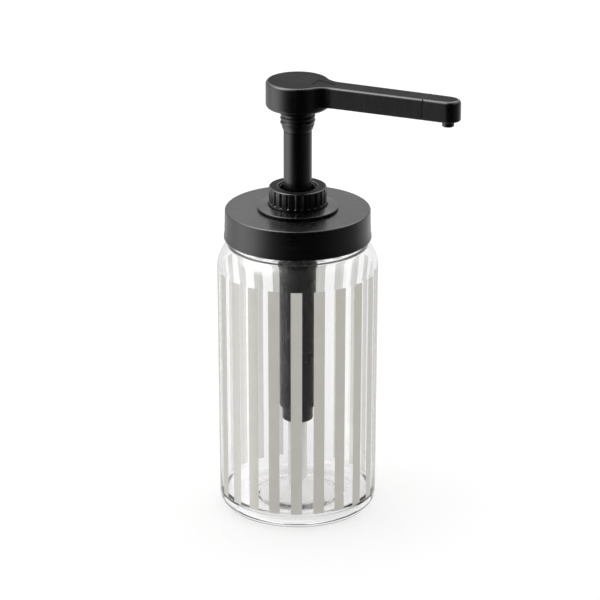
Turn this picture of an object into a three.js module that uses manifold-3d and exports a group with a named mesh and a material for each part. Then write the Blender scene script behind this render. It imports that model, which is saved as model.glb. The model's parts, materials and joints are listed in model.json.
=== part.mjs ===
// Condiment pump dispenser: a striped glass jar with a screw lid and a long-spout plunger pump.
// Millimetres, +Z up. The origin is on the jar's axis, on the plane it stands on; the spout points along +X.
import * as THREE from 'three';
import { mergeVertices } from 'three/addons/utils/BufferGeometryUtils.js';
import Module from 'manifold-3d';

const wasm = await Module();
wasm.setup();

// ---------------------------------------------------------------- fits
const FIT = 0.3; // gap between pieces that touch or slide on each other
const SLIDE = 0.1; // radial play of the piston seal in the cylinder
const SEAT_GAP = 0.1; // a valve ball stands this far off its seat

// ---------------------------------------------------------------- jar
const JAR_RADIUS = 50; // at the shoulder
const JAR_TAPER = 0.9; // the foot's radius is smaller by this
const JAR_WALL = 3;
const FLOOR_THICKNESS = 8;
const HEEL_RADIUS = 9.9;
const FOOT_GROOVE_INNER = 24; // shallow ring groove moulded in the underside
const FOOT_GROOVE_OUTER = 30;
const FOOT_GROOVE_DEPTH = 1;
const SHOULDER_Z = 159.8; // where the straight wall ends
const SHOULDER_RADIUS = 20;
const NECK_RADIUS = 41.3; // thread root
const NECK_WALL = 3.3;
const NECK_BEAD = 2; // the bead under the lid stands out from the neck by this
const NECK_BEAD_HEIGHT = 3.5;
const NECK_BEAD_CHAMFER = 1;
const NECK_HEIGHT = 15.1; // bead top to rim
const RIM_ROUND = 1;

// ---------------------------------------------------------------- lid and its thread
const LID_HEIGHT = 18.5;
const LID_WALL = 2;
const LID_TOP = 2.3;
const LID_FLARE = 0.7; // the skirt is wider by this at its lower edge
const LID_LIP_HEIGHT = 2;
const LID_GAP = 0.6; // bead top to lid edge
const LID_EDGE = 1;
const JAR_THREAD_PITCH = 5;
const JAR_THREAD_BEAD = 1.2; // radius of the round thread ridge
const JAR_THREAD_TURNS = 1.2;
const JAR_THREAD_PLAY = 0.6; // ridge crest to the facing wall
const JAR_THREAD_START = 5.4; // first ridge of the neck above the bead top
const SEAL_THICKNESS = 1.2;

// ---------------------------------------------------------------- rod, lock thread and palm head
const ROD_RADIUS = 8.75;
const ROD_BORE = 5.2;
const ROD_NECK_RADIUS = 6.5; // part of the rod that goes up into the head
const ROD_NECK_LENGTH = 21;
const LOCK_CORE_STEP = 1.05; // the lock thread's core stands out from the rod by this
const LOCK_BEAD = 1.05;
const LOCK_PITCH = 2.8;
const LOCK_LENGTH = 14.9;
const LOCK_RUNOUT = 2.4; // taper from the core down to the rod
const LOCK_TURNS = 4.4;
const HEAD_RISE = 50.9; // collar top to the underside of the palm pad
const HEAD_RADIUS = 19.7;
const HEAD_THICKNESS = 17;
const HEAD_TOP_ROUND = 2;
const HEAD_BOTTOM_ROUND = 2.4;

// ---------------------------------------------------------------- spout arm and nozzle tip
const ARM_HEIGHT = 13.1;
const ARM_ROOT_HALF = 7.6;
const ARM_TIP_HALF = 7.2;
const ARM_FILLET = 14; // plan radius where the arm leaves the palm pad
const ARM_TOP_ROUND = 1.9;
const ARM_BOTTOM_ROUND = 0.8;
const SEAM_X = 84.5;
const SPOUT_REACH = 106.2;
const OUTLET_X = 98.5;
const OUTLET_RADIUS = 3.7;
const OUTLET_BORE = 2.4;
const OUTLET_LENGTH = 3.8;
const CHANNEL_RADIUS = 2.6;
const CHANNEL_RISE = 6; // channel axis above the arm's underside
const CHAMBER_ROOF = 4.9; // solid above the flow chamber of the head
const SPIGOT_RADIUS = 4.6;
const SPIGOT_LENGTH = 6.6;
const TIP_RING_WIRE = 0.5;
const TIP_RING_DEPTH = 0.9; // groove depth in the spigot

// ---------------------------------------------------------------- collar, adapter and gland
const INSERT_PLAY = 0.15; // lock thread crest to the insert's bore
const INSERT_WALL = 0.9;
const INSERT_LENGTH = 17.8;
const INSERT_LIP = 3; // guide lip at the insert's lower end
const INSERT_FLANGE = 0.9;
const INSERT_CROWN = 1.6; // ring that stands up into the collar's opening
const INSERT_BEAD = 0.7;
const INSERT_THREAD_TURNS = 2;
const WIPER_HEIGHT = 3;
const WIPER_LIP_HEIGHT = 1; // the part of the wiper that touches the rod
const WIPER_RELIEF = 0.6; // the bore above the lip is wider by this
const CYLINDER_WALL = 1.3;
const CYLINDER_LENGTH = 140.1; // flange underside to the lower end
const CYLINDER_FLANGE = 1;
const CYLINDER_SHOULDER = 1.3;
const FLANGE_OVERHANG = 1.5; // flange beyond the cylinder's head
const BAND_DEPTH = 0.35; // raised band on the cylinder
const BAND_TOP_DROP = 35.4; // flange underside to the band's top
const BAND_HEIGHT = 11.2;
const BAND_CHAMFER = 3.3;
const LAND = 1.45; // cylinder bore beyond the rod
const GASKET_THICKNESS = 0.9;
const ADAPTER_WALL = 1.3;
const ADAPTER_NECK_HEIGHT = 5.8;
const ADAPTER_TAIL = 11; // below the disc
const DISC_RADIUS = 25.05;
const DISC_THICKNESS = 2.5;
const DISC_CONE = 0.9; // the disc's top falls by this towards its rim
const NUT_WIDTH = 5.6;
const NUT_HEIGHT = 5;
const COLLAR_WALL = 1.65;
const COLLAR_TOP = 1.3;
const COLLAR_PITCH = 3;
const COLLAR_BEAD = 0.6;
const COLLAR_PLAY = 0.5;
const COLLAR_TURNS = 1.1;
const COLLAR_FOOT = 1.4; // plain band below the grooves
const COLLAR_GROOVES = 24;
const COLLAR_GROOVE_WIDTH = 1.9;
const COLLAR_GROOVE_DEPTH = 0.6;
const COLLAR_GROOVE_TURN = 2.2; // degrees from +X to the first groove
const COLLAR_CHAMFER = 0.8;
const WASHER_THICKNESS = 0.5;

// ---------------------------------------------------------------- piston and valves
const CORE_SHANK = 6;
const CORE_BORE = 2;
const CORE_SPIGOT = 14; // length inside the rod
const CORE_FLANGE = 3.7;
const CORE_SEAT_RIM = 0.6; // flat rim round the outlet valve's seat
const CORE_FLANGE_PLAY = 0.6; // radial play of the carrier's flange in the cylinder
const PISTON_HEIGHT = 10.7;
const PISTON_CHAMFER_WIDTH = 1;
const PISTON_CHAMFER_HEIGHT = 2;
const DISCHARGE_BALL = 3.4;
const DISCHARGE_LIFT = 3;
const CAGE_HEIGHT = 4;
const CAGE_WALL = 1.3;
const CAGE_BAR = 1.6;
const INLET_BALL = 4.6;
const INLET_LIFT = 4.6;
const SEAT_BORE = 2.6;
const SEAT_WEB = 0.9;
const BALL_PLAY = 1;
const HOUSING_DROP = 9.3; // below the cylinder's end
const HOUSING_NOSE_STEP = 0.25;
const HOUSING_CHAMFER = 0.6;
const RETAINER_THICKNESS = 1.8;
const RETAINER_HOLE = 1.8;
const RETAINER_HOLE_CIRCLE = 4.8;
const RETAINER_HOLES = 4;
const FOOT_RING_WIRE = 0.6; // radius of the O-ring's section
const FOOT_RING_DEPTH = 1.2;
const FOOT_RING_DROP = 3.5; // below the housing's top
const DIP_RADIUS = 6;
const DIP_WALL = 1.4;
const DIP_SOCKET = 5.5;
const DIP_CLEARANCE = 3; // above the jar's floor
const DIP_CUT_ANGLE = 30; // degrees, slant of the tube's lower end
const SPRING_WIRE = 1.6;
const SPRING_COILS = 10;
const SPRING_PLAY = 0.6;

// ---------------------------------------------------------------- facet counts
const LARGE = 40; // segments round the jar and the lid
const MEDIUM = 28;
const SMALL = 20;
const TINY = 16;
const ARC_STEPS = 3; // points on a rounded edge
const THREAD_SIDES = 6;
const THREAD_STEPS = 16; // per turn of a small thread
const BEVEL_STEPS = 2;
const O_RING_SIDES = 8;

// ---------------------------------------------------------------- levels and radii worked out from the above
const footRadius = JAR_RADIUS - JAR_TAPER;
const beadRadius = NECK_RADIUS + NECK_BEAD;
const shoulderCentre = JAR_RADIUS - SHOULDER_RADIUS;
const shoulderSweep = Math.acos((beadRadius - shoulderCentre) / SHOULDER_RADIUS);
const neckZ = SHOULDER_Z + SHOULDER_RADIUS * Math.sin(shoulderSweep);
const beadTopZ = neckZ + NECK_BEAD_HEIGHT;
const rimZ = beadTopZ + NECK_HEIGHT;
const mouthRadius = NECK_RADIUS - NECK_WALL;

const lidBore = NECK_RADIUS + JAR_THREAD_BEAD + JAR_THREAD_PLAY;
const lidRadius = lidBore + LID_WALL;
const lidZ = beadTopZ + LID_GAP;
const lidTopZ = lidZ + LID_HEIGHT;
const lidCeilingZ = lidTopZ - LID_TOP;

const lockCore = ROD_RADIUS + LOCK_CORE_STEP;
const insertBore = lockCore + LOCK_BEAD + INSERT_PLAY;
const insertRadius = insertBore + INSERT_WALL;
const cylinderBore = ROD_RADIUS + LAND;
const cylinderRadius = cylinderBore + CYLINDER_WALL;
const cylinderHeadBore = insertRadius + FIT;
const cylinderHeadRadius = cylinderHeadBore + CYLINDER_WALL;
const flangeRadius = cylinderHeadRadius + FLANGE_OVERHANG;
const adapterBore = cylinderHeadRadius + FIT;
const adapterRadius = adapterBore + ADAPTER_WALL;
const collarBore = adapterRadius + COLLAR_BEAD + COLLAR_PLAY;
const collarRadius = collarBore + COLLAR_WALL;
const collarOpening = insertRadius + FIT;

const discZ = lidTopZ + FIT;
const discTopZ = discZ + DISC_THICKNESS;
const adapterTopZ = discTopZ + ADAPTER_NECK_HEIGHT;
const cylinderGasketZ = adapterTopZ + FIT;
const flangeZ = cylinderGasketZ + GASKET_THICKNESS + FIT;
const insertFlangeZ = flangeZ + CYLINDER_FLANGE + FIT;
const washerZ = insertFlangeZ + INSERT_FLANGE + FIT;
const collarCeilingZ = washerZ + WASHER_THICKNESS + FIT;
const collarTopZ = collarCeilingZ + COLLAR_TOP;
const collarZ = discTopZ + FIT;
const insertZ = insertFlangeZ - INSERT_LENGTH;
const wiperZ = insertZ - FIT - WIPER_HEIGHT;
const cylinderShoulderZ = wiperZ - FIT;
const cylinderZ = flangeZ - CYLINDER_LENGTH;

const rodZ = wiperZ - 2 * FIT;
const headZ = collarTopZ + HEAD_RISE;
const headTopZ = headZ + HEAD_THICKNESS;
const lockZ = headZ - LOCK_LENGTH;
const rodTopZ = lockZ + ROD_NECK_LENGTH;
const armZ = headTopZ - ARM_HEIGHT;
const channelZ = armZ + CHANNEL_RISE;

const coreShankTopZ = rodZ - FIT;
const pistonZ = coreShankTopZ - PISTON_HEIGHT;
const coreZ = pistonZ - FIT - CORE_FLANGE;
const coreSpigotRadius = ROD_BORE - FIT;
const coreTopZ = rodZ + CORE_SPIGOT;
const outletSeatRadius = coreSpigotRadius - CORE_SEAT_RIM;
const outletSeatZ = coreTopZ - (outletSeatRadius - CORE_BORE);
const outletBallZ = seatedBallZ(outletSeatZ, CORE_BORE, DISCHARGE_BALL);
const housingZ = cylinderZ - HOUSING_DROP;
const housingRadius = cylinderBore - FIT;
const inletSeatZ = housingZ + DIP_SOCKET + SEAT_WEB;
const inletBallZ = seatedBallZ(inletSeatZ, SEAT_BORE, INLET_BALL);
const housingTopZ = inletBallZ + INLET_BALL + INLET_LIFT;
const retainerZ = housingTopZ + FIT;
const springZ = retainerZ + RETAINER_THICKNESS + FIT;

// ---------------------------------------------------------------- shape helpers

/** Height of a ball's centre when it rests in a 45 degree seat that starts at seatZ with radius bore. */
function seatedBallZ(seatZ, bore, ball) {
  return seatZ - bore + ball * Math.SQRT2 + SEAT_GAP;
}

/** Points of a circular arc in the (radius, z) plane, angles in degrees, both ends included. */
function arc(centreR, centreZ, radius, fromDegrees, toDegrees, steps = ARC_STEPS) {
  const points = [];
  for (let i = 0; i <= steps; i += 1) {
    const angle = THREE.MathUtils.degToRad(fromDegrees + ((toDegrees - fromDegrees) * i) / steps);
    points.push([centreR + radius * Math.cos(angle), centreZ + radius * Math.sin(angle)]);
  }
  return points;
}

/** A turned body about Z. The profile is a list of [radius, z], outer side going up, and closes on itself. */
function turned(profile, segments) {
  const points = profile.map(([r, z]) => new THREE.Vector2(r, z));
  points.push(points[0].clone());
  const geometry = new THREE.LatheGeometry(points, segments);
  geometry.rotateX(Math.PI / 2);
  return solid(geometry);
}

/** A plain ring about Z with a rectangular section. */
function ring(inner, outer, bottom, top, segments) {
  return turned([[inner, bottom], [outer, bottom], [outer, top], [inner, top]], segments);
}

/** A round bar about Z that starts and ends on its axis. */
function bar(radius, bottom, top, segments) {
  return turned([[0, bottom], [radius, bottom], [radius, top], [0, top]], segments);
}

/** An O-ring about Z, centred on the origin. */
function oRing(middle, wire, segments) {
  return solid(new THREE.TorusGeometry(middle, wire, O_RING_SIDES, segments));
}

/** A closed three.js geometry as a solid that can be joined and cut. */
function solid(geometry) {
  geometry.deleteAttribute('normal');
  geometry.deleteAttribute('uv');
  const merged = mergeVertices(geometry);
  const corners = merged.index.array;
  const triangles = [];
  for (let i = 0; i < corners.length; i += 3) {
    const [a, b, c] = corners.slice(i, i + 3);
    if (a !== b && b !== c && c !== a) {
      triangles.push(a, b, c);
    }
  }
  return new wasm.Manifold(new wasm.Mesh({
    numProp: 3,
    vertProperties: merged.attributes.position.array,
    triVerts: new Uint32Array(triangles),
  }));
}

/** The three.js geometry of a solid. */
function geometryOf(body) {
  const mesh = body.getMesh();
  const geometry = new THREE.BufferGeometry();
  geometry.setAttribute('position', new THREE.BufferAttribute(mesh.vertProperties, mesh.numProp));
  geometry.setIndex(new THREE.BufferAttribute(mesh.triVerts, 1));
  geometry.computeVertexNormals();
  return geometry;
}

/** Helix about Z that climbs with a right-hand turn. */
class Helix extends THREE.Curve {
  constructor(radius, pitch, turns, startZ, startTurn = 0) {
    super();
    Object.assign(this, { radius, pitch, turns, startZ, startTurn });
  }

  getPoint(t, target = new THREE.Vector3()) {
    const angle = 2 * Math.PI * (this.turns * t + this.startTurn);
    const z = this.startZ + this.pitch * this.turns * t;
    return target.set(this.radius * Math.cos(angle), this.radius * Math.sin(angle), z);
  }
}

/** A round bar of radius wire bent along a helix. */
function coil(helix, wire, stepsPerTurn = THREAD_STEPS) {
  const section = new THREE.Shape();
  for (let i = 0; i < THREAD_SIDES; i += 1) {
    const angle = (2 * Math.PI * i) / THREAD_SIDES;
    const [x, y] = [wire * Math.cos(angle), wire * Math.sin(angle)];
    if (i === 0) {
      section.moveTo(x, y);
    } else {
      section.lineTo(x, y);
    }
  }
  section.closePath();
  const steps = Math.round(helix.turns * stepsPerTurn);
  return solid(new THREE.ExtrudeGeometry(section, { steps, extrudePath: helix }));
}

/** An outline in plan as a solid between two levels, with both its edges rounded. */
function rounded(outline, bottom, top, round) {
  const geometry = new THREE.ExtrudeGeometry(outline, {
    depth: top - bottom - 2 * round,
    bevelSize: round,
    bevelThickness: round,
    bevelOffset: -round,
    bevelSegments: BEVEL_STEPS,
    curveSegments: TINY / 2,
  });
  geometry.translate(0, 0, bottom + round);
  return solid(geometry);
}

/** An outline in plan, extruded between two levels, with its own rounding on the top and the bottom edge. */
function slab(outline, bottom, top, topRound, bottomRound) {
  return rounded(outline, bottom - 2 * topRound, top, topRound)
    .intersect(rounded(outline, bottom, top + 2 * bottomRound, bottomRound));
}

/** A round hole or bar along X at the height of the spout's channel. */
function channel(radius, fromX, toX) {
  const geometry = new THREE.CylinderGeometry(radius, radius, toX - fromX, TINY);
  geometry.rotateZ(Math.PI / 2);
  geometry.translate((fromX + toX) / 2, 0, channelZ);
  return solid(geometry);
}

// ---------------------------------------------------------------- jar and lid

/** The glass jar: rounded heel, straight wall, rounded shoulder, threaded neck. */
function glassJar() {
  const innerHeel = HEEL_RADIUS - JAR_WALL;
  const innerShoulder = SHOULDER_RADIUS - JAR_WALL;
  const sweep = THREE.MathUtils.radToDeg(shoulderSweep);
  const innerSweep = THREE.MathUtils.radToDeg(Math.acos((mouthRadius - shoulderCentre) / innerShoulder));
  const rimMiddle = (NECK_RADIUS + mouthRadius) / 2;
  const body = turned([
    [0, 0],
    [FOOT_GROOVE_INNER, 0],
    [FOOT_GROOVE_INNER + FOOT_GROOVE_DEPTH, FOOT_GROOVE_DEPTH],
    [FOOT_GROOVE_OUTER - FOOT_GROOVE_DEPTH, FOOT_GROOVE_DEPTH],
    [FOOT_GROOVE_OUTER, 0],
    ...arc(footRadius - HEEL_RADIUS, HEEL_RADIUS, HEEL_RADIUS, -90, 0),
    ...arc(shoulderCentre, SHOULDER_Z, SHOULDER_RADIUS, 0, sweep),
    [beadRadius, beadTopZ],
    [NECK_RADIUS, beadTopZ + NECK_BEAD_CHAMFER],
    [NECK_RADIUS, rimZ - RIM_ROUND],
    [NECK_RADIUS - RIM_ROUND, rimZ],
    [rimMiddle, rimZ],
    [mouthRadius + RIM_ROUND, rimZ],
    [mouthRadius, rimZ - RIM_ROUND],
    ...arc(shoulderCentre, SHOULDER_Z, innerShoulder, innerSweep, 0),
    ...arc(footRadius - JAR_WALL - innerHeel, FLOOR_THICKNESS + innerHeel, innerHeel, 0, -90),
    [0, FLOOR_THICKNESS],
  ], LARGE);
  const startZ = beadTopZ + JAR_THREAD_START;
  const ridge = new Helix(NECK_RADIUS, JAR_THREAD_PITCH, JAR_THREAD_TURNS, startZ);
  return body.add(coil(ridge, JAR_THREAD_BEAD, LARGE));
}

/** The flat seal between the rim and the lid's ceiling. */
function lidSeal() {
  return ring(mouthRadius, NECK_RADIUS, rimZ + FIT, rimZ + FIT + SEAL_THICKNESS, LARGE);
}

/** The screw lid, with the adapter's hole in its top. */
function jarLid() {
  const body = turned([
    [lidBore, lidZ],
    [lidRadius + LID_FLARE, lidZ],
    [lidRadius + LID_FLARE / 2, lidZ + LID_LIP_HEIGHT],
    ...arc(lidRadius - LID_EDGE, lidTopZ - LID_EDGE, LID_EDGE, 0, 90),
    [adapterRadius + FIT, lidTopZ],
    [adapterRadius + FIT, lidCeilingZ],
    [lidBore, lidCeilingZ],
  ], LARGE);
  const startZ = beadTopZ + JAR_THREAD_START - JAR_THREAD_PITCH / 2;
  const ridge = new Helix(lidBore, JAR_THREAD_PITCH, JAR_THREAD_TURNS, startZ);
  const shell = bar(lidBore + LID_WALL / 2, lidZ, lidTopZ, LARGE);
  return body.add(coil(ridge, JAR_THREAD_BEAD, LARGE).intersect(shell));
}

// ---------------------------------------------------------------- pump mounting

/** Round disc on the lid, its threaded neck above and its tail through the lid. */
function flangeAdapter() {
  const body = turned([
    [adapterBore, discZ - ADAPTER_TAIL],
    [adapterRadius, discZ - ADAPTER_TAIL],
    [adapterRadius, discZ],
    [DISC_RADIUS - FIT, discZ],
    [DISC_RADIUS, discZ + FIT],
    [DISC_RADIUS, discTopZ - DISC_CONE - FIT],
    [DISC_RADIUS - FIT, discTopZ - DISC_CONE],
    [collarRadius, discTopZ],
    [adapterRadius, discTopZ],
    [adapterRadius, adapterTopZ],
    [adapterBore, adapterTopZ],
  ], MEDIUM);
  const startZ = discTopZ + COLLAR_PITCH / 2;
  const ridge = coil(new Helix(adapterRadius, COLLAR_PITCH, COLLAR_TURNS, startZ), COLLAR_BEAD);
  return body.add(ridge.subtract(bar(adapterBore + FIT, discZ, collarTopZ, MEDIUM)));
}

/** The collar nut: fine grooves outside, thread inside, a round opening in its top. */
function retainingCollar() {
  let body = turned([
    [collarBore, collarZ],
    [collarRadius, collarZ],
    [collarRadius, collarTopZ - COLLAR_CHAMFER],
    [collarRadius - COLLAR_CHAMFER, collarTopZ],
    [collarOpening + COLLAR_CHAMFER, collarTopZ],
    [collarOpening, collarTopZ - COLLAR_CHAMFER],
    [collarOpening, collarCeilingZ],
    [collarBore, collarCeilingZ],
  ], COLLAR_GROOVES * 2);
  const startZ = discTopZ + COLLAR_PITCH;
  const ridge = coil(new Helix(collarBore, COLLAR_PITCH, COLLAR_TURNS, startZ), COLLAR_BEAD);
  body = body.add(ridge.intersect(bar(collarBore + COLLAR_WALL / 2, collarZ, collarTopZ, MEDIUM)));
  const side = COLLAR_GROOVE_WIDTH / Math.SQRT2;
  const height = collarTopZ - collarZ;
  for (let i = 0; i < COLLAR_GROOVES; i += 1) {
    const groove = new THREE.BoxGeometry(side, side, height);
    groove.rotateZ(Math.PI / 4);
    groove.scale((2 * COLLAR_GROOVE_DEPTH) / COLLAR_GROOVE_WIDTH, 1, 1);
    groove.translate(collarRadius, 0, collarZ + COLLAR_FOOT + height / 2);
    groove.rotateZ(THREE.MathUtils.degToRad(COLLAR_GROOVE_TURN + (360 * i) / COLLAR_GROOVES));
    body = body.subtract(solid(groove));
  }
  return body;
}

/** The gland insert: rod guide below, lock thread in its bore, flange held by the collar. */
function glandInsert() {
  const crownZ = insertFlangeZ + INSERT_FLANGE + INSERT_CROWN;
  const body = turned([
    [ROD_RADIUS + FIT, insertZ],
    [insertRadius, insertZ],
    [insertRadius, insertFlangeZ],
    [flangeRadius, insertFlangeZ],
    [flangeRadius, insertFlangeZ + INSERT_FLANGE],
    [insertRadius, insertFlangeZ + INSERT_FLANGE],
    [insertRadius, crownZ],
    [insertBore, crownZ],
    [insertBore, insertZ + INSERT_LIP],
    [ROD_RADIUS + FIT, insertZ + INSERT_LIP],
  ], MEDIUM);
  const startZ = crownZ - LOCK_PITCH * (INSERT_THREAD_TURNS + 1);
  const ridge = coil(new Helix(insertBore, LOCK_PITCH, INSERT_THREAD_TURNS, startZ), INSERT_BEAD);
  const shell = ring(ROD_RADIUS + FIT, insertRadius - INSERT_WALL / 2, insertZ, crownZ, MEDIUM);
  return body.add(ridge.intersect(shell));
}

/** Lip ring below the insert. */
function rodWiper() {
  return turned([
    [ROD_RADIUS + FIT, wiperZ],
    [insertRadius, wiperZ],
    [insertRadius, wiperZ + WIPER_HEIGHT],
    [ROD_RADIUS + FIT + WIPER_RELIEF, wiperZ + WIPER_HEIGHT],
    [ROD_RADIUS + FIT + WIPER_RELIEF, wiperZ + WIPER_LIP_HEIGHT],
    [ROD_RADIUS + FIT, wiperZ + WIPER_LIP_HEIGHT],
  ], SMALL);
}

/** The pump cylinder, hung by its flange, wider at the top where the insert sits. */
function pumpCylinder() {
  const bandTop = flangeZ - BAND_TOP_DROP;
  const bandBottom = bandTop - BAND_HEIGHT;
  const shoulderBottomZ = cylinderShoulderZ - CYLINDER_SHOULDER;
  const shoulderRise = cylinderHeadRadius - cylinderRadius;
  return turned([
    [cylinderBore, cylinderZ],
    [cylinderRadius - FIT, cylinderZ],
    [cylinderRadius, cylinderZ + FIT],
    [cylinderRadius, bandBottom - BAND_CHAMFER],
    [cylinderRadius + BAND_DEPTH, bandBottom],
    [cylinderRadius + BAND_DEPTH, bandTop],
    [cylinderRadius, bandTop],
    [cylinderRadius, shoulderBottomZ - shoulderRise],
    [cylinderHeadRadius, shoulderBottomZ],
    [cylinderHeadRadius, flangeZ],
    [flangeRadius, flangeZ],
    [flangeRadius, flangeZ + CYLINDER_FLANGE],
    [cylinderHeadBore, flangeZ + CYLINDER_FLANGE],
    [cylinderHeadBore, cylinderShoulderZ],
    [cylinderBore, cylinderShoulderZ],
  ], MEDIUM);
}

// ---------------------------------------------------------------- plunger

/** The hollow rod, with the thinner neck that the head is pressed onto. */
function pumpRod() {
  return turned([
    [ROD_BORE, rodZ],
    [ROD_RADIUS, rodZ],
    [ROD_RADIUS, lockZ - FIT],
    [ROD_NECK_RADIUS, lockZ - FIT],
    [ROD_NECK_RADIUS, rodTopZ],
    [ROD_BORE, rodTopZ],
  ], SMALL);
}

/** Plan of the spout arm from inside the palm pad to an end at endX, with fillets at its root. */
function armOutline(endX) {
  const taper = (ARM_ROOT_HALF - ARM_TIP_HALF) / SEAM_X;
  const filletY = ARM_ROOT_HALF + ARM_FILLET;
  const filletX = Math.sqrt((HEAD_RADIUS + ARM_FILLET) ** 2 - filletY ** 2);
  const touch = Math.atan2(filletY, filletX);
  const outline = new THREE.Shape();
  const [startX, startY] = [HEAD_RADIUS * Math.cos(touch), HEAD_RADIUS * Math.sin(touch)];
  outline.moveTo(0, -startY);
  outline.lineTo(startX, -startY);
  outline.absarc(filletX, -filletY, ARM_FILLET, Math.PI - touch, Math.PI / 2, true);
  outline.lineTo(endX, -ARM_ROOT_HALF + taper * endX);
  outline.lineTo(endX, ARM_ROOT_HALF - taper * endX);
  outline.absarc(filletX, filletY, ARM_FILLET, -Math.PI / 2, touch - Math.PI, true);
  outline.lineTo(0, startY);
  outline.closePath();
  return outline;
}

/** Palm pad, spout arm, spigot for the nozzle tip, lock thread, and the liquid's way through them. */
function pumpHead() {
  const pad = turned([
    [0, headZ],
    ...arc(HEAD_RADIUS - HEAD_BOTTOM_ROUND, headZ + HEAD_BOTTOM_ROUND, HEAD_BOTTOM_ROUND, -90, 0),
    ...arc(HEAD_RADIUS - HEAD_TOP_ROUND, headTopZ - HEAD_TOP_ROUND, HEAD_TOP_ROUND, 0, 90),
    [0, headTopZ],
  ], LARGE);
  const armEnd = SEAM_X - FIT / 2;
  const long = slab(armOutline(armEnd + ARM_HEIGHT), armZ, headTopZ, ARM_TOP_ROUND, ARM_BOTTOM_ROUND);
  const cutter = new THREE.BoxGeometry(4 * ARM_HEIGHT, 4 * ARM_HEIGHT, 4 * ARM_HEIGHT);
  cutter.translate(armEnd + 2 * ARM_HEIGHT, 0, channelZ);
  const lock = turned([
    [0, lockZ],
    [ROD_RADIUS, lockZ],
    [lockCore, lockZ + LOCK_RUNOUT],
    [lockCore, headZ + HEAD_BOTTOM_ROUND],
    [0, headZ + HEAD_BOTTOM_ROUND],
  ], MEDIUM);
  const ridgeZ = headZ - LOCK_TURNS * LOCK_PITCH + LOCK_BEAD;
  const ridge = coil(new Helix(lockCore, LOCK_PITCH, LOCK_TURNS, ridgeZ), LOCK_BEAD);
  const grooveX = SEAM_X + SPIGOT_LENGTH / 2;
  const grooveHalf = TIP_RING_WIRE + SLIDE;
  const groove = channel(SPIGOT_RADIUS + FIT, grooveX - grooveHalf, grooveX + grooveHalf)
    .subtract(channel(SPIGOT_RADIUS - TIP_RING_DEPTH, grooveX - ARM_HEIGHT, grooveX + ARM_HEIGHT));
  return pad
    .add(long.subtract(solid(cutter)))
    .add(lock)
    .add(ridge)
    .add(channel(SPIGOT_RADIUS, armEnd - ARM_HEIGHT, SEAM_X + SPIGOT_LENGTH))
    .subtract(groove)
    .subtract(bar(ROD_NECK_RADIUS + FIT, lockZ - FIT, rodTopZ + FIT, SMALL))
    .subtract(bar(ROD_BORE, rodTopZ, headTopZ - CHAMBER_ROOF, SMALL))
    .subtract(channel(CHANNEL_RADIUS, 0, SEAM_X + 2 * SPIGOT_LENGTH));
}

/** The spout's end cap, with a socket for the arm's spigot and the outlet below. */
function nozzleTip() {
  const half = ARM_TIP_HALF;
  const outline = new THREE.Shape();
  const start = SEAM_X - ARM_HEIGHT;
  outline.moveTo(start, -half);
  outline.lineTo(SPOUT_REACH - half, -half);
  outline.absarc(SPOUT_REACH - half, 0, half, -Math.PI / 2, Math.PI / 2, false);
  outline.lineTo(start, half);
  outline.closePath();
  const cutter = new THREE.BoxGeometry(4 * ARM_HEIGHT, 4 * ARM_HEIGHT, 4 * ARM_HEIGHT);
  cutter.translate(SEAM_X + FIT / 2 - 2 * ARM_HEIGHT, 0, channelZ);
  const outletTop = armZ + OUTLET_LENGTH / 2;
  return slab(outline, armZ, headTopZ, ARM_TOP_ROUND, ARM_BOTTOM_ROUND)
    .subtract(solid(cutter))
    .add(bar(OUTLET_RADIUS, armZ - OUTLET_LENGTH, outletTop, TINY).translate([OUTLET_X, 0, 0]))
    .subtract(channel(SPIGOT_RADIUS + FIT, SEAM_X - ARM_HEIGHT, SEAM_X + SPIGOT_LENGTH + FIT))
    .subtract(channel(CHANNEL_RADIUS, SEAM_X, OUTLET_X))
    .subtract(bar(OUTLET_BORE, armZ - 2 * OUTLET_LENGTH, channelZ, TINY).translate([OUTLET_X, 0, 0]));
}

// ---------------------------------------------------------------- piston and valves

/** The hollow piston carrier, with the outlet valve's seat at its top. */
function pistonCore() {
  const flange = cylinderBore - CORE_FLANGE_PLAY;
  return turned([
    [CORE_BORE, coreZ],
    [flange, coreZ],
    [flange, coreZ + CORE_FLANGE],
    [CORE_SHANK, coreZ + CORE_FLANGE],
    [CORE_SHANK, coreShankTopZ],
    [coreSpigotRadius, coreShankTopZ],
    [coreSpigotRadius, coreTopZ],
    [outletSeatRadius, coreTopZ],
    [CORE_BORE, outletSeatZ],
  ], SMALL);
}

/** The sliding cup seal on the piston carrier. */
function pistonSeal() {
  const outer = cylinderBore - SLIDE;
  return turned([
    [CORE_SHANK + FIT, pistonZ],
    [outer - PISTON_CHAMFER_WIDTH, pistonZ],
    [outer, pistonZ + PISTON_CHAMFER_HEIGHT],
    [outer, pistonZ + PISTON_HEIGHT - FIT],
    [CORE_SHANK + FIT, pistonZ + PISTON_HEIGHT - FIT],
  ], MEDIUM);
}

/** Stop for the outlet ball: a short tube with a bar across it. */
function dischargeCage() {
  const outer = ROD_BORE - FIT;
  const crossbar = new THREE.BoxGeometry(2 * (outer - CAGE_WALL / 2), CAGE_BAR, CAGE_BAR);
  crossbar.translate(0, 0, CAGE_HEIGHT / 2);
  return ring(outer - CAGE_WALL, outer, 0, CAGE_HEIGHT, SMALL).add(solid(crossbar));
}

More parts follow.
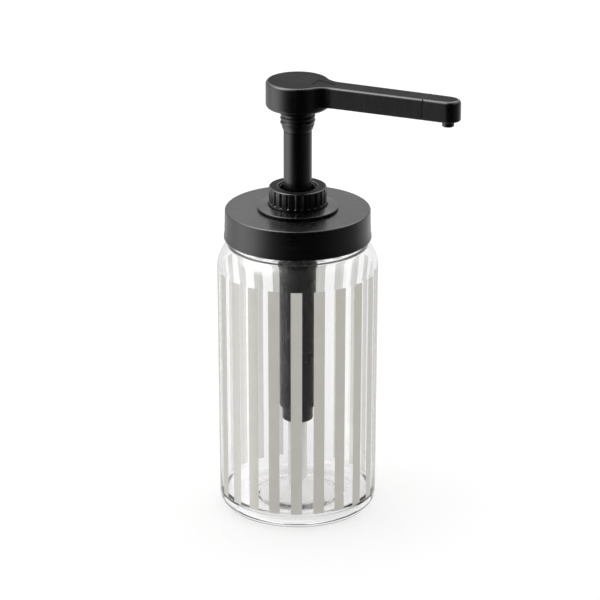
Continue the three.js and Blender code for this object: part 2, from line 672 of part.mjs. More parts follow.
/** The foot: dip tube socket, inlet valve seat, ball chamber, O-ring groove. */
function footValveHousing() {
  const nose = housingRadius - HOUSING_NOSE_STEP;
  const socket = DIP_RADIUS + FIT;
  const chamber = INLET_BALL + BALL_PLAY;
  const ringZ = housingTopZ - FOOT_RING_DROP;
  const ringHalf = FOOT_RING_WIRE + SLIDE;
  return turned([
    [socket, housingZ],
    [nose - HOUSING_CHAMFER, housingZ],
    [nose, housingZ + HOUSING_CHAMFER],
    [nose, cylinderZ],
    [housingRadius, cylinderZ],
    [housingRadius, ringZ - ringHalf],
    [housingRadius - FOOT_RING_DEPTH, ringZ - ringHalf],
    [housingRadius - FOOT_RING_DEPTH, ringZ + ringHalf],
    [housingRadius, ringZ + ringHalf],
    [housingRadius, housingTopZ],
    [chamber, housingTopZ],
    [chamber, inletSeatZ + chamber - SEAT_BORE],
    [SEAT_BORE, inletSeatZ],
    [SEAT_BORE, housingZ + DIP_SOCKET],
    [socket, housingZ + DIP_SOCKET],
  ], MEDIUM);
}

/** Perforated disc over the inlet ball, which carries the spring. */
function ballRetainer() {
  let body = bar(housingRadius, 0, RETAINER_THICKNESS, SMALL);
  for (let i = 0; i < RETAINER_HOLES; i += 1) {
    const angle = (2 * Math.PI * i) / RETAINER_HOLES;
    const hole = bar(RETAINER_HOLE, -FIT, RETAINER_THICKNESS + FIT, TINY / 2);
    const offset = [RETAINER_HOLE_CIRCLE * Math.cos(angle), RETAINER_HOLE_CIRCLE * Math.sin(angle), 0];
    body = body.subtract(hole.translate(offset));
  }
  return body;
}

/** The dip tube, cut at a slant above the jar's floor. */
function dipTube() {
  const bottom = FLOOR_THICKNESS + DIP_CLEARANCE;
  const slant = THREE.MathUtils.degToRad(DIP_CUT_ANGLE);
  const rise = 2 * DIP_RADIUS * Math.tan(slant);
  const cutter = new THREE.BoxGeometry(8 * DIP_RADIUS, 4 * DIP_RADIUS, 4 * DIP_RADIUS);
  cutter.translate(0, 0, -2 * DIP_RADIUS);
  cutter.rotateY(-slant);
  cutter.translate(0, 0, bottom + rise / 2);
  const top = housingZ + DIP_SOCKET - FIT;
  return ring(DIP_RADIUS - DIP_WALL, DIP_RADIUS, bottom - FIT, top, SMALL).subtract(solid(cutter));
}

/** The return spring, standing on z = 0 of its own frame. */
function returnSpring() {
  const wire = SPRING_WIRE / 2;
  const length = coreZ - FIT - springZ;
  const middle = cylinderBore - SPRING_PLAY - wire;
  const pitch = (length - SPRING_WIRE) / SPRING_COILS;
  return coil(new Helix(middle, pitch, SPRING_COILS, wire), wire, TINY / 2);
}

// ---------------------------------------------------------------- finishes

/** A plastic, rubber or metal finish. */
function finish(color, roughness, metalness = 0) {
  return new THREE.MeshStandardMaterial({ color, roughness, metalness });
}

const BLACK_PLASTIC = finish(0x19191a, 0.42);
const BLACK_TIP = finish(0x1b1b1c, 0.4);
const NATURAL_PLASTIC = finish(0xe6e6e0, 0.35);
const WHITE_SEAL = finish(0xf0efea, 0.6);
const GREY_RUBBER = finish(0x4a4b4d, 0.75);
const STAINLESS = finish(0xb9bbbd, 0.25, 1);
const GLASS = finish(0xe9efee, 0.03);
GLASS.transparent = true;
GLASS.opacity = 0.3;

// ---------------------------------------------------------------- assembly

/** Makes a named mesh and adds it to a group, at the height z of its own frame. */
function add(group, name, body, material, z = 0) {
  const mesh = new THREE.Mesh(geometryOf(body), material);
  mesh.name = name;
  mesh.position.z = z;
  group.add(mesh);
  return mesh;
}

/** Jar with its seal. */
function jarGroup() {
  const group = new THREE.Group();
  add(group, 'glass_jar', glassJar(), GLASS);
  add(group, 'lid_seal', lidSeal(), WHITE_SEAL);
  return group;
}

/** Lid and the pieces that hold the pump in it. */
function lidGroup() {
  const group = new THREE.Group();
  const gasketTop = lidCeilingZ - FIT;
  const nutTop = gasketTop - GASKET_THICKNESS - FIT;
  const clamp = adapterRadius + FIT;
  add(group, 'jar_lid', jarLid(), BLACK_PLASTIC);
  add(group, 'flange_adapter', flangeAdapter(), BLACK_PLASTIC);
  add(group, 'adapter_gasket', ring(clamp, clamp + NUT_WIDTH, -GASKET_THICKNESS, 0, SMALL), WHITE_SEAL, gasketTop);
  add(group, 'adapter_nut', ring(clamp, clamp + NUT_WIDTH, -NUT_HEIGHT, 0, SMALL), BLACK_PLASTIC, nutTop);
  add(group, 'retaining_collar', retainingCollar(), BLACK_PLASTIC);
  const washer = ring(collarOpening + FIT, collarBore - COLLAR_BEAD - FIT, 0, WASHER_THICKNESS, SMALL);
  add(group, 'slip_washer', washer, WHITE_SEAL, washerZ);
  return group;
}

/** Cylinder, gland and foot valve, all still while the pump works. */
function cylinderGroup() {
  const group = new THREE.Group();
  const gasket = ring(cylinderHeadRadius + FIT, flangeRadius, 0, GASKET_THICKNESS, SMALL);
  add(group, 'pump_cylinder', pumpCylinder(), BLACK_PLASTIC);
  add(group, 'cylinder_gasket', gasket, WHITE_SEAL, cylinderGasketZ);
  add(group, 'gland_insert', glandInsert(), BLACK_PLASTIC);
  add(group, 'rod_wiper', rodWiper(), GREY_RUBBER);
  add(group, 'foot_valve_housing', footValveHousing(), BLACK_PLASTIC);
  const footRing = oRing(cylinderBore - SLIDE - FOOT_RING_WIRE, FOOT_RING_WIRE, SMALL);
  add(group, 'foot_seal', footRing, GREY_RUBBER, housingTopZ - FOOT_RING_DROP);
  add(group, 'ball_retainer', ballRetainer(), NATURAL_PLASTIC, retainerZ);
  add(group, 'dip_tube', dipTube(), NATURAL_PLASTIC);
  add(group, 'return_spring', returnSpring(), STAINLESS, springZ);
  return group;
}

/** Rod, head and tip, with the piston below them. */
function plungerGroup() {
  const group = new THREE.Group();
  const cageZ = outletBallZ + DISCHARGE_BALL + DISCHARGE_LIFT + FIT;
  add(group, 'piston_core', pistonCore(), NATURAL_PLASTIC);
  add(group, 'piston_seal', pistonSeal(), NATURAL_PLASTIC);
  add(group, 'pump_rod', pumpRod(), BLACK_PLASTIC);
  add(group, 'discharge_cage', dischargeCage(), NATURAL_PLASTIC, cageZ);
  add(group, 'pump_head', pumpHead(), BLACK_PLASTIC);
  add(group, 'nozzle_tip', nozzleTip(), BLACK_TIP);
  const tipRing = oRing(SPIGOT_RADIUS - TIP_RING_DEPTH + SLIDE + TIP_RING_WIRE, TIP_RING_WIRE, TINY);
  const seal = add(group, 'nozzle_seal', tipRing, GREY_RUBBER, channelZ);
  seal.position.x = SEAM_X + SPIGOT_LENGTH / 2;
  seal.rotation.y = Math.PI / 2;
  const outletBall = solid(new THREE.SphereGeometry(DISCHARGE_BALL, TINY, TINY / 2));
  add(group, 'discharge_ball', outletBall, STAINLESS, outletBallZ);
  return group;
}

const object = new THREE.Group();
object.add(jarGroup(), lidGroup(), cylinderGroup(), plungerGroup());
add(object, 'inlet_ball', solid(new THREE.SphereGeometry(INLET_BALL, TINY, TINY / 2)), STAINLESS, inletBallZ);

export default object;
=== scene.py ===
"""Condiment pump dispenser: a striped glass jar with a screw lid and a long-spout plunger pump.

Every size is in millimetres in the part's own frame, with +Z up the jar's axis and +X along the spout.
"""

import json
import logging
import math
from dataclasses import dataclass
from enum import Enum
from typing import Callable, Sequence

import bpy
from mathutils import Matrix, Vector


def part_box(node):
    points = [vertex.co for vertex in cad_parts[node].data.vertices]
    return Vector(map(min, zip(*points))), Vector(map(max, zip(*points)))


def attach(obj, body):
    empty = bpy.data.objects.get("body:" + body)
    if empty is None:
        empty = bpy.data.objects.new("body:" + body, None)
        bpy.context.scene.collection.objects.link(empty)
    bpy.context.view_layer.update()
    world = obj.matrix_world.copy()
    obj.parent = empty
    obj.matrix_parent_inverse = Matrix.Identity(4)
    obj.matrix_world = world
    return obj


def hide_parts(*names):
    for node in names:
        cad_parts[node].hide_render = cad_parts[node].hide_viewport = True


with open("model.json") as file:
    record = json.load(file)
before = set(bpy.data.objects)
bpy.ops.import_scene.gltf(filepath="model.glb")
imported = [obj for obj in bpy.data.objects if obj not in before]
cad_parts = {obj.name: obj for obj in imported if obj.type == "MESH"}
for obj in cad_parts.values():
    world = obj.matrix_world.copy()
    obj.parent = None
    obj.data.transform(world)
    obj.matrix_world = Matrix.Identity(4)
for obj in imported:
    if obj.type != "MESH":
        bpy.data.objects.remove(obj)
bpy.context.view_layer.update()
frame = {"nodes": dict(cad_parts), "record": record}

log = logging.getLogger("condiment_pump")

MM = 0.001
WELD = 1e-6  # metres; points closer than this are one point
NEAR = 0.01  # two lengths closer than this are the same
BREAK = 0.3  # usual width of a broken edge
FLAT = 0.9  # least share of the normal of a flat face along the axis
Point = tuple[float, float]  # radius and height
Colour = tuple[float, float, float]


class Merge(Enum):
    """How one solid acts on another."""

    JOIN = "UNION"
    CUT = "DIFFERENCE"


class Body(Enum):
    """The moving bodies of the part."""

    JAR = "jar"
    LID = "lid"
    COLLAR = "collar"
    HEAD = "head"


# ---------------------------------------------------------------- shaping


def deselect() -> None:
    """Leaves edit mode and selects nothing."""
    active = bpy.context.view_layer.objects.active
    if active is not None and active.mode != "OBJECT":
        bpy.ops.object.mode_set(mode="OBJECT")
    bpy.ops.object.select_all(action="DESELECT")


def pick(piece: bpy.types.Object) -> None:
    """Makes one piece the only selected and the active one."""
    deselect()
    piece.select_set(True)
    bpy.context.view_layer.objects.active = piece


def settle(name: str) -> bpy.types.Object:
    """Names the new primitive and puts its place into its mesh.

    Args:
        name: name of the piece.

    Returns:
        The piece, at the origin, unturned and unscaled.
    """
    piece = bpy.context.object
    piece.name = name
    piece.data.name = name
    bpy.ops.object.transform_apply(location=True, rotation=True, scale=True)
    return piece


def edit(piece: bpy.types.Object, mode: str = "VERT", everything: bool = True) -> None:
    """Opens a piece in edit mode.

    Args:
        piece: the piece.
        mode: VERT, EDGE or FACE.
        everything: whether all of it is selected.
    """
    pick(piece)
    bpy.ops.object.mode_set(mode="EDIT")
    bpy.ops.mesh.select_mode(type=mode)
    bpy.ops.mesh.select_all(action="SELECT" if everything else "DESELECT")


def choose(piece: bpy.types.Object, mode: str, wanted: Callable[[object], bool]) -> int:
    """Selects the vertices, edges or faces of a piece that answer a question, and opens edit mode on them.

    Args:
        piece: the piece.
        mode: VERT, EDGE or FACE.
        wanted: says of each element whether it is selected.

    Returns:
        How many are selected.
    """
    edit(piece, mode, everything=False)
    bpy.ops.object.mode_set(mode="OBJECT")
    elements = {"VERT": piece.data.vertices, "EDGE": piece.data.edges, "FACE": piece.data.polygons}[mode]
    count = 0
    for element in elements:
        element.select = wanted(element)
        count += element.select
    bpy.ops.object.mode_set(mode="EDIT")
    return count


def begin_at(name: str, place: Sequence[float]) -> bpy.types.Object:
    """Starts a piece from a single point, in edit mode.

    Args:
        name: name of the piece.
        place: the point, in metres.

    Returns:
        The piece.
    """
    deselect()
    bpy.ops.mesh.primitive_plane_add(size=1 * MM, location=place)
    piece = settle(name)
    edit(piece)
    bpy.ops.mesh.merge(type="CENTER")
    return piece


def extrude_up(rise: float) -> None:
    """Extrudes what is selected straight up, or down by a negative rise."""
    bpy.ops.mesh.extrude_region_move(TRANSFORM_OT_translate={"value": (0, 0, rise * MM)})


def close_up(piece: bpy.types.Object) -> bpy.types.Object:
    """Merges doubles and turns all faces of a piece outwards.

    Args:
        piece: the piece.

    Returns:
        The same piece.
    """
    edit(piece)
    bpy.ops.mesh.remove_doubles(threshold=WELD)
    bpy.ops.mesh.normals_make_consistent(inside=False)
    bpy.ops.object.mode_set(mode="OBJECT")
    return piece


def smooth(piece: bpy.types.Object, degrees: float = 32, weighted: bool = True) -> bpy.types.Object:
    """Shades a piece smooth except at edges sharper than an angle.

    Args:
        piece: the piece.
        degrees: the angle.
        weighted: whether large faces keep their own normal.

    Returns:
        The same piece.
    """
    pick(piece)
    bpy.ops.object.shade_smooth_by_angle(angle=math.radians(degrees))
    if weighted:
        modifier = piece.modifiers.new("weighted", "WEIGHTED_NORMAL")
        modifier.keep_sharp = True
        bpy.ops.object.modifier_apply(modifier=modifier.name)
    return piece


def arc(centre: Point, radius: float, start: float, end: float, steps: int) -> list[Point]:
    """Points of an arc in the (radius, height) plane.

    Args:
        centre: its centre.
        radius: its radius.
        start: angle of the first point in degrees.
        end: angle of the last point in degrees.
        steps: number of chords.

    Returns:
        The points, both ends included.
    """
    points = []
    for i in range(steps + 1):
        angle = math.radians(start + (end - start) * i / steps)
        points.append((centre[0] + radius * math.cos(angle), centre[1] + radius * math.sin(angle)))
    return points


def line(start: Point, end: Point, steps: int) -> list[Point]:
    """Evenly spaced points between two points, without the first."""
    return [
        (start[0] + (end[0] - start[0]) * i / steps, start[1] + (end[1] - start[1]) * i / steps)
        for i in range(1, steps + 1)
    ]


def turn(name: str, profile: Sequence[Point], segments: int, solid: bool = False) -> bpy.types.Object:
    """Raises a turned piece ring by ring from a circle.

    Args:
        name: name of the piece.
        profile: radius and height of each ring, outer side going up.
        segments: facets round the axis.
        solid: whether the first and last rings are closed by discs; otherwise the last ring meets the first.

    Returns:
        The piece.
    """
    deselect()
    (radius, height), *rest = profile
    bpy.ops.mesh.primitive_circle_add(
        vertices=segments,
        radius=radius * MM,
        fill_type="NGON" if solid else "NOTHING",
        location=(0, 0, height * MM),
    )
    piece = settle(name)
    edit(piece)
    rings = rest if solid else [*rest, profile[0]]
    extrude = bpy.ops.mesh.extrude_region_move if solid else bpy.ops.mesh.extrude_edges_move
    for ring_radius, ring_height in rings:
        extrude(TRANSFORM_OT_translate={"value": (0, 0, (ring_height - height) * MM)})
        scale = ring_radius / radius
        bpy.ops.transform.resize(value=(scale, scale, 1), center_override=(0, 0, 0))
        radius, height = ring_radius, ring_height
    return close_up(piece)


@dataclass(frozen=True)
class Thread:
    """A right-hand thread ridge of round section.

    The sizes are the helix radius, the ridge's own radius, the pitch, the number of turns
    and the first height.
    """

    radius: float
    ridge: float
    pitch: float
    turns: float
    start: float
    steps: int = 60
    sides: int = 12
    fade: float = 0.12
    thinnest: float = 0.35

    def build(self, name: str) -> bpy.types.Object:
        """Sweeps the ridge up its helix, thinner at both ends.

        Args:
            name: name of the piece.

        Returns:
            The ridge as a closed piece.
        """
        deselect()
        bpy.ops.mesh.primitive_circle_add(
            vertices=self.sides,
            radius=self.ridge * MM,
            fill_type="NGON",
            location=(self.radius * MM, 0, self.start * MM),
            rotation=(math.pi / 2, 0, 0),
        )
        piece = settle(name)
        edit(piece)
        count = round(self.turns * self.steps)
        rise = self.pitch / self.steps
        step = 2 * math.pi / self.steps
        thickness = self.share(0, count)
        centre = Vector((self.radius, 0, self.start)) * MM
        bpy.ops.transform.resize(value=(thickness,) * 3, center_override=centre)
        for i in range(1, count + 1):
            extrude_up(rise)
            bpy.ops.transform.rotate(value=-step, orient_axis="Z", center_override=(0, 0, 0))
            angle = step * i
            height = self.start + rise * i
            centre = Vector((self.radius * math.cos(angle), self.radius * math.sin(angle), height)) * MM
            scale = self.share(i, count) / thickness
            if abs(scale - 1) > WELD:
                bpy.ops.transform.resize(value=(scale,) * 3, center_override=centre)
                thickness *= scale
        return close_up(piece)

    def share(self, index: int, count: int) -> float:
        """The ridge's thickness at a step, as a share of its full thickness."""
        ends = min(index, count - index) / (self.fade * self.steps)
        return min(1.0, self.thinnest + (1 - self.thinnest) * ends)


def merge(body: bpy.types.Object, tool: bpy.types.Object, how: Merge) -> bpy.types.Object:
    """Joins a tool to a body, or cuts the body with it.

    Args:
        body: the piece that stays.
        tool: the piece that is used up.
        how: whether the tool is joined on or cut out.

    Returns:
        The body.
    """
    modifier = body.modifiers.new("merge", "BOOLEAN")
    modifier.operation = how.value
    modifier.solver = "EXACT"
    modifier.object = tool
    pick(body)
    bpy.ops.object.modifier_apply(modifier=modifier.name)
    bpy.data.objects.remove(tool, do_unlink=True)
    return body


def bore(name: str, radius: float, start: Vector, end: Vector, segments: int = 48) -> bpy.types.Object:
    """A round tool between two points, for drilling or for a spigot.

    Args:
        name: name of the tool.
        radius: its radius.
        start: centre of one end.
        end: centre of the other end.
        segments: facets round it.

    Returns:
        The tool.
    """
    along = end - start
    deselect()
    bpy.ops.mesh.primitive_cylinder_add(
        vertices=segments,
        radius=radius * MM,
        depth=along.length * MM,
        location=(start + end) / 2 * MM,
        rotation=along.to_track_quat("Z", "X").to_euler(),
    )
    return settle(name)


def soften(
    piece: bpy.types.Object, width: float, weight: Callable[[bpy.types.MeshEdge], float], steps: int
) -> None:
    """Rounds edges by a width that each edge takes a share of.

    Args:
        piece: the piece.
        width: the full rounding.
        weight: share of it for each edge, from 0 to 1.
        steps: facets across the rounding.
    """
    deselect()
    shares = piece.data.attributes.new("bevel_weight_edge", "FLOAT", "EDGE")
    shares.data.foreach_set("value", [weight(edge) for edge in piece.data.edges])
    modifier = piece.modifiers.new("rounding", "BEVEL")
    modifier.limit_method = "WEIGHT"
    modifier.width = width * MM
    modifier.segments = steps
    modifier.use_clamp_overlap = False
    pick(piece)
    bpy.ops.object.modifier_apply(modifier=modifier.name)
    left = piece.data.attributes.get("bevel_weight_edge")
    if left is not None:
        piece.data.attributes.remove(left)


# ---------------------------------------------------------------- shader node groups


ONE_BOUNCE, TWO_BOUNCES = 0.5, 1.5  # a ray's count of bounces above these is at least one, or two
MIX_FACTOR, MIX_FIRST, MIX_SECOND, MIX_RESULT = 0, 6, 7, 2  # sockets of a Mix node set to colours


class Nodes:
    """Adds nodes to a tree and links them."""

    def __init__(self, tree: bpy.types.NodeTree) -> None:
        """Empties the tree and keeps it."""
        self.tree = tree
        tree.nodes.clear()

    def add(self, kind: str, **settings: object) -> bpy.types.Node:
        """Adds a node.

        Args:
            kind: its type, without the ShaderNode prefix.
            settings: values of its properties, or what feeds its inputs, by their names with _ for a space.

        Returns:
            The node.
        """
        prefix = "" if kind.startswith("NodeGroup") else "ShaderNode"
        node = self.tree.nodes.new(prefix + kind)
        for key, value in settings.items():
            if hasattr(node, key):
                setattr(node, key, value)
            else:
                self.feed(node.inputs[key.replace("_", " ")], value)
        return node

    def feed(self, socket: bpy.types.NodeSocket, value: object) -> None:
        """Links an input to an output, or sets its value.

        Args:
            socket: the input.
            value: an output's socket, a number, a vector or a colour.
        """
        if isinstance(value, bpy.types.NodeSocket):
            self.tree.links.new(value, socket)
        elif socket.type == "RGBA":
            socket.default_value = (*value, 1)
        else:
            socket.default_value = value

    def math(self, operation: str, first: object, second: object) -> bpy.types.NodeSocket:
        """Adds a Math node on two numbers or sockets.

        Args:
            operation: its operation.
            first: first value.
            second: second value.

        Returns:
            The result's socket.
        """
        node = self.add("Math", operation=operation)
        for socket, value in zip(node.inputs, (first, second)):
            self.feed(socket, value)
        return node.outputs[0]

    def vector(self, operation: str, first: object, second: object) -> bpy.types.NodeSocket:
        """Adds a Vector Math node on two vectors or sockets.

        Args:
            operation: its operation.
            first: first vector.
            second: second vector.

        Returns:
            The result's socket, which is a number for a dot product.
        """
        node = self.add("VectorMath", operation=operation)
        for socket, value in zip(node.inputs, (first, second)):
            self.feed(socket, value)
        return node.outputs["Value" if operation == "DOT_PRODUCT" else "Vector"]

    def tint(self, share: bpy.types.NodeSocket, first: object, second: object) -> bpy.types.NodeSocket:
        """Mixes two colours.

        Args:
            share: socket of the second one's share.
            first: first colour or socket.
            second: second colour or socket.

        Returns:
            The colour's socket.
        """
        node = self.add("Mix", data_type="RGBA")
        for index, value in ((MIX_FACTOR, share), (MIX_FIRST, first), (MIX_SECOND, second)):
            self.feed(node.inputs[index], value)
        return node.outputs[MIX_RESULT]

    def mix(self, share: bpy.types.NodeSocket, *shaders: bpy.types.NodeSocket) -> bpy.types.NodeSocket:
        """Mixes two shaders.

        Args:
            share: socket of the second one's share.
            shaders: the sockets of both.

        Returns:
            The mixed shader's socket.
        """
        node = self.add("MixShader")
        for socket, source in zip(node.inputs, (share, *shaders)):
            self.feed(socket, source)
        return node.outputs["Shader"]

    def relief(self, height: bpy.types.NodeSocket, strength: float, depth: float) -> bpy.types.NodeSocket:
        """Adds a bump.

        Args:
            height: socket of its height.
            strength: its strength.
            depth: its depth in millimetres.

        Returns:
            The normal's socket.
        """
        return self.add("Bump", Strength=strength, Distance=depth * MM, Height=height).outputs["Normal"]


def start_material(name: str) -> tuple[bpy.types.Material, Nodes]:
    """Adds a material without nodes.

    Args:
        name: its name.

    Returns:
        The material and its nodes.
    """
    material = bpy.data.materials.new(name)
    material.use_nodes = True
    return material, Nodes(material.node_tree)


def start_group(name: str, inputs: dict[str, float], outputs: Sequence[str]) -> bpy.types.NodeTree:
    """Starts a shader node group with number sockets.

    Args:
        name: its name.
        inputs: input names and their values.
        outputs: output names.

    Returns:
        The group.
    """
    group = bpy.data.node_groups.new(name, "ShaderNodeTree")
    for key, value in inputs.items():
        socket = group.interface.new_socket(key, in_out="INPUT", socket_type="NodeSocketFloat")
        socket.default_value = value
    for key in outputs:
        group.interface.new_socket(key, in_out="OUTPUT", socket_type="NodeSocketFloat")
    return group


def moulded_skin() -> bpy.types.NodeTree:
    """Fine spark-erosion grain, slow clouding and drawn-out flow streaks of a moulded surface.

    Returns:
        The group, with the outputs Roughness, Cloud, Streak and Height.
    """
    inputs = {
        "Grain Scale": 2600.0, "Cloud Scale": 38.0, "Roughness Low": 0.35, "Roughness High": 0.45,
        "Streak Scale": 420.0, "Streak Across": 1.0, "Streak Up": 0.04,
    }
    group = start_group("moulded_skin", inputs, ("Roughness", "Cloud", "Streak", "Height"))
    nodes = Nodes(group)
    given = nodes.add("NodeGroupInput").outputs
    place = nodes.add("TexCoord").outputs["Object"]
    grain = nodes.add("TexNoise", Vector=place, Scale=given["Grain Scale"], Detail=4.0, Roughness=0.62)
    cloud = nodes.add("TexNoise", Vector=place, Scale=given["Cloud Scale"], Detail=5.0, Roughness=0.55)
    across = given["Streak Across"]
    stretch = nodes.add("CombineXYZ", X=across, Y=across, Z=given["Streak Up"])
    pulled = nodes.vector("MULTIPLY", place, stretch.outputs["Vector"])
    streak = nodes.add("TexNoise", Vector=pulled, Scale=given["Streak Scale"], Detail=3.0, Roughness=0.7)
    sharp = nodes.add("MapRange", Value=streak.outputs["Fac"], From_Min=0.5, From_Max=0.78)
    rough = nodes.add(
        "MapRange", Value=cloud.outputs["Fac"], From_Min=0.3, From_Max=0.7,
        To_Min=given["Roughness Low"], To_Max=given["Roughness High"],
    )
    nodes.add(
        "NodeGroupOutput", Roughness=rough.outputs["Result"], Cloud=cloud.outputs["Fac"],
        Streak=sharp.outputs["Result"], Height=grain.outputs["Fac"],
    )
    return group


def hairline_marks() -> bpy.types.NodeTree:
    """Sparse hairline rub marks and specks, as handling leaves them.

    Returns:
        The group, with the output Mask.
    """
    group = start_group("hairline_marks", {"Scale": 90.0, "Spread": 0.02}, ("Mask",))
    nodes = Nodes(group)
    given = nodes.add("NodeGroupInput").outputs
    place = nodes.add("TexCoord").outputs["Object"]
    tilt = nodes.add("Mapping", Vector=place, Rotation=(0.4, 0.9, 0.3), Scale=(1.0, 9.0, 1.0))
    marks = nodes.add("TexNoise", Vector=tilt.outputs["Vector"], Scale=given["Scale"], Detail=2.0)
    specks = nodes.add("TexVoronoi", Vector=place, Scale=520.0)
    ridge = nodes.math("ABSOLUTE", nodes.math("SUBTRACT", marks.outputs["Fac"], 0.5), 0.0)
    lines = nodes.math("LESS_THAN", ridge, nodes.math("MULTIPLY", given["Spread"], 0.12))
    dots = nodes.math("LESS_THAN", specks.outputs["Distance"], given["Spread"])
    nodes.add("NodeGroupOutput", Mask=nodes.math("MAXIMUM", lines, dots))
    return group


@dataclass(frozen=True)
class Finishes:
    """The node groups that the finishes share."""

    skin: bpy.types.NodeTree
    marks: bpy.types.NodeTree


@dataclass(frozen=True)
class MouldedPlastic:
    """A moulded plastic or rubber with grain, clouding and faint handling marks."""

    name: str
    colour: Colour
    lighter: Colour
    rough_low: float
    rough_high: float
    grain_scale: float = 2600.0
    grain_strength: float = 0.5
    grain_depth: float = 0.006
    cloud_scale: float = 38.0
    cloud_share: float = 0.4
    mark_spread: float = 0.02
    mark_share: float = 0.25
    mark_roughness: float = 0.12
    streak_scale: float = 420.0
    streak_across: float = 1.0
    streak_up: float = 0.04
    streak_share: float = 0.8
    alpha: float = 1.0
    specular: float = 0.5

    def build(self, shared: Finishes) -> bpy.types.Material:
        """Makes the material.

        Args:
            shared: node groups in common use.

        Returns:
            The material.
        """
        material, nodes = start_material(self.name)
        skin = nodes.add(
            "Group", node_tree=shared.skin, Grain_Scale=self.grain_scale, Cloud_Scale=self.cloud_scale,
            Roughness_Low=self.rough_low, Roughness_High=self.rough_high,
            Streak_Scale=self.streak_scale, Streak_Across=self.streak_across, Streak_Up=self.streak_up,
        ).outputs
        marks = nodes.add("Group", node_tree=shared.marks, Spread=self.mark_spread).outputs["Mask"]
        worn = nodes.math("MULTIPLY", marks, self.mark_share)
        flow = nodes.math("MULTIPLY", skin["Streak"], self.streak_share)
        share = nodes.math("ADD", worn, flow)
        blend = nodes.math("ADD", nodes.math("MULTIPLY", skin["Cloud"], self.cloud_share), share)
        rough = nodes.math("ADD", skin["Roughness"], nodes.math("MULTIPLY", share, self.mark_roughness))
        shader = nodes.add(
            "BsdfPrincipled", Base_Color=nodes.tint(blend, self.colour, self.lighter), Roughness=rough,
            Alpha=self.alpha, Specular_IOR_Level=self.specular,
            Normal=nodes.relief(skin["Height"], self.grain_strength, self.grain_depth),
        )
        nodes.add("OutputMaterial", Surface=shader.outputs["BSDF"])
        return material


@dataclass(frozen=True)
class PressedGlass:
    """Clear jar glass, a little wavy from its mould, that shadows and diffuse light pass straight through."""

    name: str = "clear_jar_glass"
    colour: Colour = (0.966, 0.966, 0.966)
    index: float = 1.5
    wave_scale: float = 26.0
    wave_strength: float = 0.25
    wave_depth: float = 0.05

    def build(self, shared: Finishes) -> bpy.types.Material:
        """Makes the material.

        Args:
            shared: node groups in common use.

        Returns:
            The material.
        """
        material, nodes = start_material(self.name)
        skin = nodes.add("Group", node_tree=shared.skin, Cloud_Scale=self.wave_scale)
        glass = nodes.add(
            "BsdfPrincipled", Base_Color=self.colour, Roughness=0.0, IOR=self.index, Transmission_Weight=1.0,
            Normal=nodes.relief(skin.outputs["Cloud"], self.wave_strength, self.wave_depth),
        )
        clear = nodes.add("BsdfTransparent", Color=self.colour)
        path = nodes.add("LightPath").outputs
        soft = nodes.math("MAXIMUM", path["Is Shadow Ray"], path["Is Diffuse Ray"])
        nodes.add("OutputMaterial", Surface=nodes.mix(soft, glass.outputs["BSDF"], clear.outputs["BSDF"]))
        return material


@dataclass(frozen=True)
class PrintedEnamel:
    """Screen-printed enamel: a warm grey, a little uneven, that lets light through to its inner side, where
    its base colour is also painted lighter as painted backlight.
    """

    name: str = "warm_grey_enamel"
    colour: Colour = (0.47, 0.458, 0.415)
    lighter: Colour = (0.54, 0.527, 0.48)
    # pale colour of the inner side: painted backlight on the base colour, and also the tint of the light let
    # through
    through_tint_and_painted_backlight: Colour = (0.8, 0.79, 0.76)
    rough_low: float = 0.16
    rough_high: float = 0.26
    grain_scale: float = 1400.0
    grain_strength: float = 0.3
    grain_depth: float = 0.01
    cloud_scale: float = 85.0
    specular: float = 0.85
    glow: float = 0.62
    inner_edge: float = 0.01

    def inner_side(self, nodes: Nodes) -> bpy.types.NodeSocket:
        """Masks the side of the film that faces the jar's axis, where it is seen through the glass and where
        the painted backlight goes.

        Args:
            nodes: the material's nodes.

        Returns:
            The mask's socket.
        """
        place = nodes.add("TexCoord").outputs
        flat = nodes.vector("MULTIPLY", place["Object"], (1.0, 1.0, 0.0))
        outwards = nodes.vector("DOT_PRODUCT", flat, place["Normal"])
        return nodes.math("LESS_THAN", outwards, -self.inner_edge)

    def build(self, shared: Finishes) -> bpy.types.Material:
        """Makes the material.

        Args:
            shared: node groups in common use.

        Returns:
            The material.
        """
        material, nodes = start_material(self.name)
        skin = nodes.add(
            "Group", node_tree=shared.skin, Grain_Scale=self.grain_scale, Cloud_Scale=self.cloud_scale,
            Roughness_Low=self.rough_low, Roughness_High=self.rough_high,
        ).outputs
        inner = self.inner_side(nodes)
        outer = nodes.tint(skin["Cloud"], self.colour, self.lighter)
        # the inner side's base colour is painted lighter: painted backlight standing in for light coming
        # through the print from behind the jar
        shader = nodes.add(
            "BsdfPrincipled", Base_Color=nodes.tint(inner, outer, self.through_tint_and_painted_backlight), Roughness=skin["Roughness"],
            Specular_IOR_Level=self.specular,
            Normal=nodes.relief(skin["Height"], self.grain_strength, self.grain_depth),
        )
        through = nodes.add("BsdfTranslucent", Color=self.through_tint_and_painted_backlight)
        glow = nodes.math("MULTIPLY", inner, self.glow)
        face = nodes.mix(glow, shader.outputs["BSDF"], through.outputs["BSDF"])
        clear = nodes.add("BsdfTransparent")
        film = nodes.mix(nodes.add("NewGeometry").outputs["Backfacing"], face, clear.outputs["BSDF"])
        nodes.add("OutputMaterial", Surface=film)
        return material


